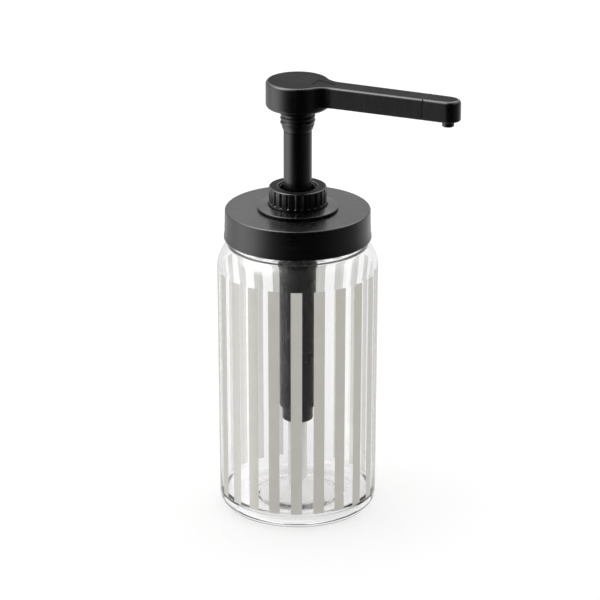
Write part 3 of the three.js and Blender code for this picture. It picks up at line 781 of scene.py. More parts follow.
@dataclass(frozen=True)
class DrawnSteel:
    """Bright steel wire and balls with fine drawing lines."""

    name: str = "drawn_stainless"
    colour: Colour = (0.56, 0.57, 0.58)
    rough_low: float = 0.18
    rough_high: float = 0.32
    line_strength: float = 0.2
    line_depth: float = 0.005

    def build(self, shared: Finishes) -> bpy.types.Material:
        """Makes the material.

        Args:
            shared: node groups in common use.

        Returns:
            The material.
        """
        material, nodes = start_material(self.name)
        skin = nodes.add(
            "Group", node_tree=shared.skin, Roughness_Low=self.rough_low, Roughness_High=self.rough_high
        ).outputs
        shader = nodes.add(
            "BsdfPrincipled", Base_Color=self.colour, Metallic=1.0, Roughness=skin["Roughness"],
            Normal=nodes.relief(skin["Height"], self.line_strength, self.line_depth),
        )
        nodes.add("OutputMaterial", Surface=shader.outputs["BSDF"])
        return material


BLACK: Colour = (0.0004, 0.0004, 0.00045)
DARK: Colour = (0.003, 0.003, 0.0032)
FACES_UP = 0.99  # least upward share of the normal of a face with the coarser top texture


class Palette:
    """Every finish of the object, made once, under its slot in the part's record."""

    def __init__(self) -> None:
        """Builds all the materials."""
        shared = Finishes(moulded_skin(), hairline_marks())
        self.glass = PressedGlass().build(shared)
        self.enamel = PrintedEnamel().build(shared)
        self.lid = MouldedPlastic(
            "satin_black_lid", BLACK, DARK, rough_low=0.22, rough_high=0.3,
            streak_scale=60.0, streak_across=0.5, streak_up=9.0,
        ).build(shared)
        self.pump = MouldedPlastic(
            "satin_black_pump", BLACK, DARK, rough_low=0.2, rough_high=0.3, cloud_scale=55.0
        ).build(shared)
        self.pump_tops = MouldedPlastic(
            "textured_black_tops", BLACK, DARK,
            rough_low=0.55, rough_high=0.65, cloud_scale=55.0, specular=0.1,
        ).build(shared)
        self.natural = MouldedPlastic(
            "milky_polyethylene", (0.9, 0.9, 0.87), (0.95, 0.95, 0.93),
            rough_low=0.28, rough_high=0.4, alpha=0.5,
        ).build(shared)
        self.seal = MouldedPlastic(
            "foamed_white_seal", (0.82, 0.81, 0.78), (0.9, 0.89, 0.86), rough_low=0.6, rough_high=0.75
        ).build(shared)
        self.rubber = MouldedPlastic(
            "grey_elastomer", (0.08, 0.08, 0.085), (0.11, 0.11, 0.12), rough_low=0.6, rough_high=0.75
        ).build(shared)
        self.steel = DrawnSteel().build(shared)
        self.by_slot = {
            "jar_glass": self.glass,
            "stripe_enamel": self.enamel,
            "lid_plastic": self.lid,
            "pump_plastic": self.pump,
            "natural_plastic": self.natural,
            "white_seal": self.seal,
            "grey_rubber": self.rubber,
            "stainless": self.steel,
        }

    def dress_cad_nodes(self) -> None:
        """Gives every CAD node the finish of its slot."""
        slots = {part["node"]: part["material_slot"] for part in frame["record"]["subparts"]}
        for name, node in frame["nodes"].items():
            node.data.materials.clear()
            node.data.materials.append(self.by_slot[slots[name]])

    def mount(self, piece: bpy.types.Object, slot: str, body: Body, *nodes: str) -> None:
        """Dresses a finished piece, with coarser texture on the pump's flat tops, parents it to its body and
        hides the CAD nodes that it stands for.

        Args:
            piece: the piece, in place.
            slot: the slot that it takes its finish from.
            body: the body that it moves with.
            nodes: CAD nodes that it stands for.
        """
        piece.data.materials.clear()
        piece.data.materials.append(self.by_slot[slot])
        if self.by_slot[slot] is self.pump:
            piece.data.materials.append(self.pump_tops)
            for face in piece.data.polygons:
                face.material_index = int(face.normal.z > FACES_UP)
        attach(piece, body.value)
        if nodes:
            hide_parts(*nodes)
        piece.data.calc_loop_triangles()
        log.info("%s rides on %s: %d triangles", piece.name, body.value, len(piece.data.loop_triangles))


def low(node: str) -> float:
    """Lowest level of a CAD node in millimetres."""
    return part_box(node)[0].z / MM


def high(node: str) -> float:
    """Highest level of a CAD node in millimetres."""
    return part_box(node)[1].z / MM


# ---------------------------------------------------------------- jar


@dataclass
class StripedJar:
    """The glass jar and the stripes printed on it."""

    radius: float = 50.0
    taper: float = 0.9
    wall: float = 3.0
    floor: float = 8.0
    heel: float = 9.9
    groove_inner: float = 24.0
    groove_outer: float = 30.0
    groove_side: tuple[Point, ...] = ((0.0, 0.0), (0.3, 0.08), (1.1, 0.9), (1.5, 1.0))
    floor_rings: tuple[float, float] = (26.0, 12.0)
    shoulder_z: float = 159.8
    shoulder: float = 20.0
    throat_radius: float = 43.3
    throat_fillet: float = 2.6
    inner_fillet: float = 2.0
    bead_z: float = 178.23
    bead_height: float = 1.0
    bead_drop: float = 0.5
    bead_round: float = 1.2
    neck_ease: float = 0.25
    neck_edge: float = 0.1
    neck_radius: float = 41.3
    mouth_radius: float = 38.0
    rim_round: float = 1.4
    thread_ridge: float = 1.2
    thread_pitch: float = 5.0
    thread_turns: float = 1.2
    thread_start: float = 5.4
    stripes: int = 22
    stripe_width: float = 7.0
    stripe_bottom: float = 12.3
    stripe_turn: float = -2.05
    stripe_gap: float = 0.03
    stripe_film: float = 0.05
    segments: int = 144

    def outer_radius(self, height: float) -> float:
        """Radius of the straight wall at a height."""
        foot = self.radius - self.taper
        return foot + self.taper * (height - self.heel) / (self.shoulder_z - self.heel)

    def profile(self) -> list[Point]:
        """The jar's section, from the disc under its foot round to the disc of its floor.

        Returns:
            Radius and height of each ring.
        """
        foot = self.radius - self.taper
        rim_z = high("glass_jar")
        groove = [
            *((self.groove_inner + out, depth) for out, depth in self.groove_side),
            *((self.groove_outer - out, depth) for out, depth in reversed(self.groove_side)),
        ]
        centre = self.radius - self.shoulder
        reach = self.shoulder + self.throat_fillet
        throat_x = self.throat_radius + self.throat_fillet
        side = throat_x - centre
        sweep = math.degrees(math.acos(side / reach))
        throat_z = self.shoulder_z + reach * math.sin(math.radians(sweep))
        neck_top = rim_z - self.rim_round
        bead_round_z = self.bead_z - self.bead_drop
        neck_foot = self.bead_z + self.bead_height
        inner_shoulder = self.shoulder - self.wall
        inner_throat_x = self.mouth_radius + self.inner_fillet
        inner_reach = inner_shoulder + self.inner_fillet
        inner_sweep = math.degrees(math.acos((inner_throat_x - centre) / inner_reach))
        inner_throat_z = self.shoulder_z + inner_reach * math.sin(math.radians(inner_sweep))
        inner_heel = self.heel - self.wall
        inner_foot = foot - self.wall
        return [
            *groove,
            *arc((foot - self.heel, self.heel), self.heel, -90, 0, 14),
            *line((foot, self.heel), (self.radius, self.shoulder_z), 14),
            *arc((centre, self.shoulder_z), self.shoulder, 0, sweep, 18)[1:],
            *arc((throat_x, throat_z), self.throat_fillet, 180 + sweep, 180, 6)[1:],
            (self.throat_radius, bead_round_z),
            *arc((self.throat_radius - self.bead_round, bead_round_z), self.bead_round, 0, 70, 5)[1:],
            (self.neck_radius + self.neck_ease, neck_foot - self.neck_edge),
            (self.neck_radius, neck_foot + self.neck_edge),
            *line((self.neck_radius, neck_foot + self.neck_edge), (self.neck_radius, neck_top), 4),
            *arc((self.neck_radius - self.rim_round, neck_top), self.rim_round, 0, 90, 6)[1:],
            *arc((self.mouth_radius + self.rim_round, neck_top), self.rim_round, 90, 180, 6),
            *line((self.mouth_radius, neck_top), (self.mouth_radius, inner_throat_z), 4),
            *arc((inner_throat_x, inner_throat_z), self.inner_fillet, 180, 180 + inner_sweep, 6)[1:],
            *arc((centre, self.shoulder_z), inner_shoulder, inner_sweep, 0, 18)[1:],
            *line((self.radius - self.wall, self.shoulder_z), (inner_foot, self.floor + inner_heel), 14),
            *arc((inner_foot - inner_heel, self.floor + inner_heel), inner_heel, 0, -90, 12)[1:],
            *((ring, self.floor) for ring in self.floor_rings),
        ]

    def build_glass(self) -> bpy.types.Object:
        """The jar with the thread on its neck.

        Returns:
            The glass.
        """
        jar = turn("jar_glass_body", self.profile(), self.segments, solid=True)
        start = self.bead_z + self.thread_start
        thread = Thread(self.neck_radius, self.thread_ridge, self.thread_pitch, self.thread_turns, start)
        merge(jar, thread.build("jar_thread"), Merge.JOIN)
        return smooth(jar, 40, weighted=False)

    def build_stripes(self) -> bpy.types.Object:
        """One stripe of print, spun round the wall, and its copies.

        Returns:
            All the stripes as one piece.
        """
        half = math.degrees(self.stripe_width / self.radius) / 2
        start = math.radians(self.stripe_turn - half)
        bottom = self.outer_radius(self.stripe_bottom) + self.stripe_gap
        top = self.outer_radius(self.shoulder_z) + self.stripe_gap
        foot = Vector((bottom * math.cos(start), bottom * math.sin(start), self.stripe_bottom))
        rise = Vector((top * math.cos(start), top * math.sin(start), self.shoulder_z)) - foot
        stripe = begin_at("stripe_print", foot * MM)
        bpy.ops.mesh.extrude_vertices_move(TRANSFORM_OT_translate={"value": rise * MM})
        bpy.ops.mesh.select_all(action="SELECT")
        bpy.ops.mesh.spin(steps=6, angle=-math.radians(2 * half), center=(0, 0, 0), axis=(0, 0, 1))
        bpy.ops.mesh.select_all(action="SELECT")
        bpy.ops.mesh.remove_doubles(threshold=WELD)
        bpy.ops.object.mode_set(mode="OBJECT")
        outward = stripe.data.polygons[0].normal.dot(stripe.data.polygons[0].center)
        film = stripe.modifiers.new("film", "SOLIDIFY")
        film.thickness = self.stripe_film * MM
        film.offset = 1.0 if outward > 0 else -1.0
        pick(stripe)
        bpy.ops.object.modifier_apply(modifier=film.name)
        close_up(stripe)
        copies = [stripe]
        for i in range(1, self.stripes):
            pick(stripe)
            bpy.ops.object.duplicate(linked=False)
            copy = bpy.context.object
            bpy.ops.transform.rotate(
                value=-2 * math.pi * i / self.stripes, orient_axis="Z", center_override=(0, 0, 0)
            )
            bpy.ops.object.transform_apply(location=True, rotation=True, scale=True)
            copies.append(copy)
        pick(stripe)
        for copy in copies:
            copy.select_set(True)
        bpy.context.view_layer.objects.active = stripe
        bpy.ops.object.join()
        return smooth(stripe, 30, weighted=False)

    def build(self, palette: Palette) -> None:
        """Builds and mounts the glass and its print.

        Args:
            palette: the finishes.
        """
        palette.mount(self.build_glass(), "jar_glass", Body.JAR, "glass_jar")
        palette.mount(self.build_stripes(), "stripe_enamel", Body.JAR)


# ---------------------------------------------------------------- lid, disc and collar


@dataclass
class ScrewLid:
    """The screw lid."""

    radius: float = 45.1
    flare: float = 0.7
    bore: float = 43.1
    top_thickness: float = 2.3
    hole_radius: float = 15.4
    edge: float = 1.0
    lip: float = 2.0
    thread_ridge: float = 1.2
    thread_pitch: float = 5.0
    thread_turns: float = 1.2
    thread_start: float = 181.13
    foot_round: float = 0.35
    lip_draft: float = 0.08
    lip_slope: float = 1.2
    skirt_draft: float = 0.28
    inner_round: float = 1.5
    segments: int = 160

    def build(self, palette: Palette) -> None:
        """Builds and mounts the lid.

        Args:
            palette: the finishes.
        """
        foot, top = low("jar_lid"), high("jar_lid")
        ceiling = top - self.top_thickness
        wide = self.radius + self.flare
        lip_top = foot + self.lip + self.lip_slope
        foot_round, inner_round = self.foot_round, self.inner_round
        profile = [
            (self.bore + foot_round, foot),
            (wide - BREAK, foot),
            *arc((wide - foot_round, foot + foot_round), foot_round, -60, 0, 3),
            (wide - self.lip_draft, foot + self.lip),
            (self.radius + self.skirt_draft, lip_top),
            *line((self.radius + self.skirt_draft, lip_top), (self.radius, top - self.edge), 4),
            *arc((self.radius - self.edge, top - self.edge), self.edge, 0, 90, 7)[1:],
            (self.hole_radius + BREAK, top),
            (self.hole_radius, top - BREAK),
            (self.hole_radius, ceiling),
            (self.bore - inner_round, ceiling),
            *arc((self.bore - inner_round, ceiling - inner_round), inner_round, 90, 0, 4)[1:],
            (self.bore, foot + foot_round),
        ]
        lid = turn("screw_lid", profile, self.segments)
        thread = Thread(self.bore, self.thread_ridge, self.thread_pitch, self.thread_turns, self.thread_start)
        merge(lid, thread.build("lid_thread"), Merge.JOIN)
        palette.mount(smooth(lid), "lid_plastic", Body.LID, "jar_lid")


@dataclass
class PumpMount:
    """The disc on the lid, the collar nut and the gland insert."""

    disc_radius: float = 25.05
    disc_z: float = 197.63
    disc_thickness: float = 2.5
    disc_cone: float = 0.9
    disc_edge: float = 0.25
    disc_facets: int = 96
    rim_round: float = 0.45
    seat_outer: float = 0.9
    seat_inner: float = 0.2
    seat_rise: float = 0.05
    neck_bore: float = 13.8
    neck_radius: float = 15.1
    collar_radius: float = 17.85
    collar_bore: float = 16.2
    collar_opening: float = 12.2
    collar_ceiling: float = 210.73
    collar_chamfer: float = 0.8
    collar_foot: float = 1.4
    collar_edge: float = 0.15
    mouth_round: float = 0.6
    collar_pitch: float = 3.0
    collar_turns: float = 1.1
    collar_ridge: float = 0.6
    grooves: int = 24
    groove_depth: float = 0.6
    groove_turn: float = 2.2
    groove_facets: int = 5
    groove_runout: float = 0.35
    groove_search: float = 0.2
    insert_radius: float = 11.9
    insert_bore: float = 11.0
    insert_guide: float = 9.05
    insert_lip: float = 3.0
    insert_slope: float = 0.6
    insert_crown: float = 0.25
    insert_facets: int = 80
    flange_radius: float = 15.0
    flange_z: float = 208.73
    flange_thickness: float = 0.9
    lock_pitch: float = 2.8
    lock_ridge: float = 0.7
    lock_turns: float = 2
    lock_depth: float = 3  # pitches below the crown

    def build_disc(self) -> bpy.types.Object:
        """The disc with its threaded neck and its tail through the lid.

        Returns:
            The piece.
        """
        tail, neck = low("flange_adapter"), high("flange_adapter")
        top = self.disc_z + self.disc_thickness
        rim = top - self.disc_cone
        profile = [
            (self.neck_bore, tail),
            (self.neck_radius, tail),
            (self.neck_radius, self.disc_z),
            (self.disc_radius - self.disc_edge, self.disc_z),
            (self.disc_radius, self.disc_z + self.disc_edge),
            *arc((self.disc_radius - self.rim_round, rim - self.rim_round), self.rim_round, 0, 80, 5),
            (self.collar_radius + self.seat_outer, top - self.seat_rise),
            (self.collar_radius + self.seat_inner, top),
            (self.neck_radius + BREAK, top),
            (self.neck_radius, top + BREAK),
            (self.neck_radius, neck - BREAK),
            (self.neck_radius - BREAK, neck),
            (self.neck_bore, neck),
        ]
        disc = turn("mounting_disc", profile, self.disc_facets)
        start = top + self.collar_pitch / 2
        thread = Thread(self.neck_radius, self.collar_ridge, self.collar_pitch, self.collar_turns, start)
        merge(disc, thread.build("neck_thread"), Merge.JOIN)
        return smooth(disc)

    def build_collar(self) -> bpy.types.Object:
        """The collar nut, with its grip grooves pressed into its side.

        Returns:
            The piece.
        """
        foot, top = low("retaining_collar"), high("retaining_collar")
        step = foot + self.collar_foot
        shoulder = top - self.collar_chamfer
        mouth, mouth_round = self.collar_opening, self.mouth_round
        profile = [
            (self.collar_bore, foot),
            (self.collar_radius - self.collar_edge, foot),
            (self.collar_radius, foot + self.collar_edge),
            (self.collar_radius, step),
            (self.collar_radius, step + self.groove_runout),
            *line((self.collar_radius, step + self.groove_runout), (self.collar_radius, shoulder), 3),
            *arc((self.collar_radius - self.collar_chamfer, shoulder), self.collar_chamfer, 0, 90, 5)[1:],
            (mouth + mouth_round, top),
            *arc((mouth + mouth_round, top - mouth_round), mouth_round, 90, 180, 4)[1:],
            (mouth, self.collar_ceiling),
            (self.collar_bore, self.collar_ceiling),
        ]
        facets = self.grooves * self.groove_facets
        collar = turn("collar_nut", profile, facets)
        edit(collar)
        first = math.atan2(collar.data.vertices[0].co.y, collar.data.vertices[0].co.x)
        turned = math.radians(self.groove_turn) - first
        bpy.ops.transform.rotate(value=-turned, orient_axis="Z", center_override=(0, 0, 0))
        pitch = 2 * math.pi / self.grooves
        near = self.groove_search

        def in_groove(vertex: bpy.types.MeshVertex) -> bool:
            """Whether a vertex lies on the bottom line of a groove."""
            place = vertex.co / MM
            angle = math.atan2(place.y, place.x) - math.radians(self.groove_turn)
            off = abs((angle + pitch / 2) % pitch - pitch / 2)
            outside = place.xy.length > self.collar_radius - near
            return outside and off < near / 2 / self.collar_radius and step + near < place.z < shoulder + near

        deepest = 1 - self.groove_depth / self.collar_radius
        count = choose(collar, "VERT", in_groove)
        log.info("collar_nut has %d groove points", count)
        bpy.ops.transform.resize(value=(deepest, deepest, 1), center_override=(0, 0, 0))
        start = self.disc_z + self.disc_thickness + self.collar_pitch
        thread = Thread(self.collar_bore, self.collar_ridge, self.collar_pitch, self.collar_turns, start)
        merge(collar, thread.build("collar_thread"), Merge.JOIN)
        return smooth(collar, 24)

    def build_insert(self) -> bpy.types.Object:
        """The gland insert that guides the rod and holds the lock thread.

        Returns:
            The piece.
        """
        foot, crown = low("gland_insert"), high("gland_insert")
        flange_top = self.flange_z + self.flange_thickness
        profile = [
            (self.insert_guide, foot),
            (self.insert_radius - BREAK, foot),
            (self.insert_radius, foot + BREAK),
            (self.insert_radius, self.flange_z),
            (self.flange_radius, self.flange_z),
            (self.flange_radius, flange_top),
            (self.insert_radius, flange_top),
            (self.insert_radius, crown - self.insert_crown),
            (self.insert_radius - self.insert_crown, crown),
            (self.insert_bore + self.insert_crown, crown),
            (self.insert_bore, crown - self.insert_crown),
            (self.insert_bore, foot + self.insert_lip),
            (self.insert_guide, foot + self.insert_lip - self.insert_slope),
        ]
        insert = turn("gland_ring", profile, self.insert_facets)
        start = crown - self.lock_depth * self.lock_pitch
        thread = Thread(self.insert_bore, self.lock_ridge, self.lock_pitch, self.lock_turns, start)
        merge(insert, thread.build("gland_thread"), Merge.JOIN)
        return smooth(insert)

    def build(self, palette: Palette) -> None:
        """Builds and mounts the disc, the collar and the insert.

        Args:
            palette: the finishes.
        """
        palette.mount(self.build_disc(), "pump_plastic", Body.LID, "flange_adapter")
        palette.mount(self.build_collar(), "pump_plastic", Body.COLLAR, "retaining_collar")
        palette.mount(self.build_insert(), "pump_plastic", Body.LID, "gland_insert")


# ---------------------------------------------------------------- pump inside the jar


@dataclass
class PumpBarrel:
    """The cylinder, its foot with the inlet valve, and the dip tube."""

    bore: float = 10.2
    radius: float = 11.5
    head_bore: float = 12.2
    head_radius: float = 13.5
    flange_radius: float = 15.0
    flange_z: float = 207.43
    flange_thickness: float = 1.0
    shoulder_z: float = 187.33
    shoulder: float = 1.3
    band_depth: float = 0.35
    band_top: float = 172.03
    band_height: float = 11.2
    band_chamfer: float = 3.3
    band_edge: float = 0.1
    rib_gaps: tuple[float, float] = (1.1, 2.6)
    rib_side: tuple[Point, ...] = ((0.0, 0.0), (0.2, 0.15), (0.2, 0.45), (0.0, 0.6))
    foot_round: float = 0.5
    nose_round: float = 1.0
    ease: float = 0.2
    barrel_facets: int = 96
    foot_facets: int = 72
    tube_facets: int = 64
    foot_radius: float = 9.9
    nose_radius: float = 9.65
    socket_radius: float = 6.3
    socket_depth: float = 5.5
    chamber_radius: float = 5.6
    seat_bore: float = 2.6
    seat_web: float = 0.9
    ring_drop: float = 3.5
    ring_half: float = 0.7
    ring_depth: float = 1.2
    tube_radius: float = 6.0
    tube_wall: float = 1.4
    tube_slant: float = 30.0
    tube_spare: float = 1.0  # below the slant, cut away
    cutter: float = 48.0

    def build_cylinder(self) -> bpy.types.Object:
        """The cylinder, hung by its flange, with its moulded bands.

        Returns:
            The piece.
        """
        foot = low("pump_cylinder")
        band_bottom = self.band_top - self.band_height
        wide = self.radius + self.band_depth
        low_shoulder = self.shoulder_z - self.shoulder
        rise = self.head_radius - self.radius
        foot_round = self.foot_round
        ribs: list[Point] = []
        for gap in self.rib_gaps:
            level = self.band_top + gap
            ribs += [(self.radius + out, level + up) for out, up in self.rib_side]
        profile = [
            (self.bore, foot),
            (self.radius - foot_round, foot),
            *arc((self.radius - foot_round, foot + foot_round), foot_round, -90, 0, 4)[1:],
            *line((self.radius, foot + foot_round), (self.radius, band_bottom - self.band_chamfer), 4),
            (wide, band_bottom),
            (wide, self.band_top - self.band_edge),
            (wide - self.band_edge, self.band_top),
            (self.radius, self.band_top + self.band_edge / 2),
            *ribs,
            (self.radius, low_shoulder - rise),
            (self.head_radius - self.ease, low_shoulder - self.ease),
            (self.head_radius, low_shoulder + self.ease),
            (self.head_radius, self.flange_z),
            (self.flange_radius, self.flange_z),
            (self.flange_radius, self.flange_z + self.flange_thickness),
            (self.head_bore, self.flange_z + self.flange_thickness),
            (self.head_bore, self.shoulder_z),
            (self.bore, self.shoulder_z),
        ]
        return smooth(turn("pump_barrel", profile, self.barrel_facets))

    def build_foot(self) -> bpy.types.Object:
        """The foot, with its seat, ball chamber, O-ring groove and tube socket.

        Returns:
            The piece.
        """
        bottom, top = low("foot_valve_housing"), high("foot_valve_housing")
        join = low("pump_cylinder")
        roof = bottom + self.socket_depth
        seat = roof + self.seat_web
        ring = top - self.ring_drop
        nose_round = self.nose_round
        profile = [
            (self.socket_radius, bottom),
            (self.nose_radius - nose_round, bottom),
            *arc((self.nose_radius - nose_round, bottom + nose_round), nose_round, -90, 0, 5)[1:],
            (self.nose_radius, join),
            (self.foot_radius, join),
            (self.foot_radius, ring - self.ring_half),
            (self.foot_radius - self.ring_depth, ring - self.ring_half),
            (self.foot_radius - self.ring_depth, ring + self.ring_half),
            (self.foot_radius, ring + self.ring_half),
            (self.foot_radius, top),
            (self.chamber_radius, top),
            (self.chamber_radius, seat + self.chamber_radius - self.seat_bore),
            (self.seat_bore, seat),
            (self.seat_bore, roof),
            (self.socket_radius, roof),
        ]
        return smooth(turn("barrel_foot", profile, self.foot_facets))

    def build_tube(self) -> bpy.types.Object:
        """The dip tube, cut at a slant above the jar's floor.

        Returns:
            The piece.
        """
        bottom, top = low("dip_tube"), high("dip_tube")
        inner = self.tube_radius - self.tube_wall
        profile = [
            (inner, bottom - self.tube_spare),
            (self.tube_radius, bottom - self.tube_spare),
            *line((self.tube_radius, bottom - self.tube_spare), (self.tube_radius, top - BREAK), 6),
            (self.tube_radius - BREAK, top),
            (inner, top),
            *line((inner, top), (inner, bottom), 6),
        ]
        tube = turn("dip_pipe", profile, self.tube_facets)
        slant = math.radians(self.tube_slant)
        middle = bottom + self.tube_radius * math.tan(slant)
        deselect()
        bpy.ops.mesh.primitive_cube_add(size=self.cutter * MM, location=(0, 0, -self.cutter / 2 * MM))
        cutter = settle("slant_cutter")
        edit(cutter)
        bpy.ops.transform.rotate(value=slant, orient_axis="Y", center_override=(0, 0, 0))
        bpy.ops.transform.translate(value=(0, 0, middle * MM))
        bpy.ops.object.mode_set(mode="OBJECT")
        merge(tube, cutter, Merge.CUT)
        return smooth(tube)

    def build(self, palette: Palette) -> None:
        """Builds and mounts the barrel, its foot and the tube.

        Args:
            palette: the finishes.
        """
        palette.mount(self.build_cylinder(), "pump_plastic", Body.LID, "pump_cylinder")
        palette.mount(self.build_foot(), "pump_plastic", Body.LID, "foot_valve_housing")
        palette.mount(self.build_tube(), "natural_plastic", Body.LID, "dip_tube")


# ---------------------------------------------------------------- plunger


@dataclass
class Plunger:
    """The rod, the palm pad with its spout arm and lock thread, and the nozzle tip."""

    rod_radius: float = 8.75
    rod_bore: float = 5.2
    rod_neck: float = 6.5
    rod_step: float = 247.73
    pad_radius: float = 19.7
    pad_height: float = 17.0
    pad_top_round: float = 2.0
    pad_bottom_round: float = 2.4
    touch: float = 40.0
    fillet: float = 14.0
    arm_height: float = 13.1
    arm_tip_half: float = 7.2
    arm_top_round: float = 1.9
    arm_bottom_round: float = 0.8
    end_round: float = 2.6
    turn_lead: float = 2.0  # the rounding starts to widen this far before the round end
    turn_reach: float = 4.32
    seam_round: float = 0.25
    seam: float = 84.5
    seam_gap: float = 0.15
    lock_z: float = 248.03
    lock_core: float = 9.8
    lock_ridge: float = 1.05
    lock_pitch: float = 2.8
    lock_turns: float = 4.4
    lock_runout: float = 2.4
    lock_fade: float = 0.3
    channel: float = 2.6
    channel_rise: float = 6.0
    chamber_roof: float = 4.9
    spigot: float = 4.6
    spigot_length: float = 6.6
    socket: float = 4.9
    outlet_x: float = 98.5
    outlet_radius: float = 3.7
    outlet_bore: float = 2.4
    mark_base: float = 11.5
    mark_length: float = 14.0
    mark_half: float = 5.8
    mark_depth: float = 0.3
    mark_round: float = 0.8
    mark_steps: int = 4
    pad_facets: int = 144
    rod_facets: int = 80
    outlet_facets: int = 56
    fillet_steps: int = 12
    round_steps: int = 6
    blend: float = 0.35  # share of the fillet's length in which the pad's rounding becomes the arm's
    edge_slack: float = 0.05  # the arm's edges start this far past the pad's
    arm_slack: float = 0.2  # and stand this far outside the pad
    rod_lead: float = 0.5
    neck_play: float = 0.3
    lock_root: float = 0.6
    lap: float = 0.02  # overlap of two parts of one solid
    ring_half: float = 0.6
    ring_core: float = 3.7

    def levels(self) -> tuple[float, float, float]:
        """Underside of the pad, underside of the arm, and top of both."""
        top = high("pump_head")
        return top - self.pad_height, top - self.arm_height, top

    def build_rod(self) -> bpy.types.Object:
        """The hollow rod, with the thinner neck that the head is pressed onto.

        Returns:
            The piece.
        """
        foot, top = low("pump_rod"), high("pump_rod")
        profile = [
            (self.rod_bore, foot),
            (self.rod_radius - BREAK, foot),
            (self.rod_radius, foot + BREAK),
            *line((self.rod_radius, foot + BREAK), (self.rod_radius, self.rod_step), 4),
            (self.rod_neck, self.rod_step),
            (self.rod_neck, top - self.rod_lead),
            (self.rod_neck - self.rod_lead, top),
            (self.rod_bore, top),
        ]
        return smooth(turn("plunger_rod", profile, self.rod_facets))

    def build_plan(self) -> bpy.types.Object:
        """The pad and the arm in plan: a disc whose edge is drawn out along fillets into the arm.

        Returns:
            A flat piece of two faces at the level of the top.
        """
        _, _, top = self.levels()
        deselect()
        bpy.ops.mesh.primitive_circle_add(
            vertices=self.pad_facets, radius=self.pad_radius * MM, fill_type="NGON", location=(0, 0, top * MM)
        )
        plan = settle("palm_head")
        limit = self.touch + 0.5  # degrees; takes in the edges that end where the fillets touch

        def faces_spout(edge: bpy.types.MeshEdge) -> bool:
            """Whether an edge of the disc lies between the two fillets."""
            ends = [plan.data.vertices[i].co for i in edge.vertices]
            return all(abs(math.degrees(math.atan2(end.y, end.x))) < limit for end in ends)

        choose(plan, "EDGE", faces_spout)
        turn_in = math.radians(self.touch)
        centre = Vector((math.cos(turn_in), math.sin(turn_in))) * (self.pad_radius + self.fillet)
        ends = arc((centre.x, centre.y), self.fillet, 180 + self.touch, 270, self.fillet_steps)
        seam = self.seam - self.seam_gap
        ends += line(ends[-1], (seam, self.arm_tip_half), 5)
        (x, y), *rest = ends
        for next_x, next_y in rest:
            bpy.ops.mesh.extrude_edges_move(TRANSFORM_OT_translate={"value": ((next_x - x) * MM, 0, 0)})
            bpy.ops.transform.resize(value=(1, next_y / y, 1), center_override=(0, 0, 0))
            x, y = next_x, next_y
        bpy.ops.transform.resize(value=(0, 1, 1), center_override=(seam * MM, 0, 0))
        choose(plan, "FACE", lambda face: len(face.vertices) == 4)
        bpy.ops.mesh.dissolve_faces()
        half = self.arm_tip_half - NEAR
        choose(plan, "VERT", lambda vertex: vertex.co.x > (seam - NEAR) * MM and abs(vertex.co.y) < half * MM)
        bpy.ops.mesh.dissolve_verts()
        return close_up(plan)

    def build_body(self) -> bpy.types.Object:
        """Pad and arm as one solid with rounded edges.

        Returns:
            The piece, before it is drilled.
        """
        pad_z, arm_z, top = self.levels()
        body = self.build_plan()
        edit(body, "FACE")
        extrude_up(arm_z - top)
        bpy.ops.object.mode_set(mode="OBJECT")
        close_up(body)
        within_pad = self.pad_radius / 2 * MM
        choose(body, "FACE", lambda face: face.normal.z < -FLAT and face.center.xy.length < within_pad)
        extrude_up(pad_z - arm_z)
        choose(body, "FACE", lambda face: face.normal.z > FLAT)
        bpy.ops.mesh.dissolve_faces()
        bpy.ops.object.mode_set(mode="OBJECT")
        widest = self.pad_bottom_round
        edge_reach = self.pad_radius * math.cos(math.radians(self.touch)) + self.edge_slack
        corner = self.pad_radius + self.fillet

        def share(edge: bpy.types.MeshEdge) -> float:
            """Rounding of an edge as a share of the widest one."""
            one, two = (body.data.vertices[i].co / MM for i in edge.vertices)
            middle = (one + two) / 2
            if middle.x > self.seam - self.seam_gap - NEAR:
                return self.seam_round / widest
            if abs(one.z - two.z) > NEAR:
                return 0.0
            reach = middle.xy.length
            along = min(1.0, max(0.0, (middle.x - edge_reach) / (corner * self.blend)))
            if middle.z > top - NEAR:
                return (self.pad_top_round + (self.arm_top_round - self.pad_top_round) * along) / widest
            if middle.z < pad_z + NEAR:
                return 1.0
            if reach > self.pad_radius + self.arm_slack and middle.x > edge_reach:
                return self.arm_bottom_round * along / widest
            return 0.0

        soften(body, widest, share, self.round_steps)
        return close_up(body)

    def build_mark(self) -> bpy.types.Object:
        """Tool for the shallow pointer that shows which way the spout faces.

        Returns:
            A three-sided tool with rounded corners.
        """
        _, _, top = self.levels()
        deselect()
        bpy.ops.mesh.primitive_circle_add(
            vertices=3, radius=1 * MM, fill_type="NGON", location=(0, 0, 0), rotation=(0, 0, -math.pi / 2)
        )
        mark = settle("pointer_tool")
        edit(mark)
        low_x = min(vertex.co.x for vertex in mark.data.vertices)
        high_x = max(vertex.co.x for vertex in mark.data.vertices)
        high_y = max(vertex.co.y for vertex in mark.data.vertices)
        stretch_x = self.mark_length * MM / (high_x - low_x)
        stretch_y = self.mark_half * MM / high_y
        bpy.ops.transform.resize(value=(stretch_x, stretch_y, 1), center_override=(low_x, 0, 0))
        shift = Vector((self.mark_base * MM - low_x, 0, (top - self.mark_depth) * MM))
        bpy.ops.transform.translate(value=shift)
        extrude_up(2 * self.mark_depth)
        close_up(mark)
        soften(mark, self.mark_round, lambda edge: 1.0 if self.upright(mark, edge) else 0.0, self.mark_steps)
        return close_up(mark)

    def upright(self, piece: bpy.types.Object, edge: bpy.types.MeshEdge) -> bool:
        """Whether an edge stands upright."""
        one, two = (piece.data.vertices[i].co for i in edge.vertices)
        return (one - two).xy.length < WELD

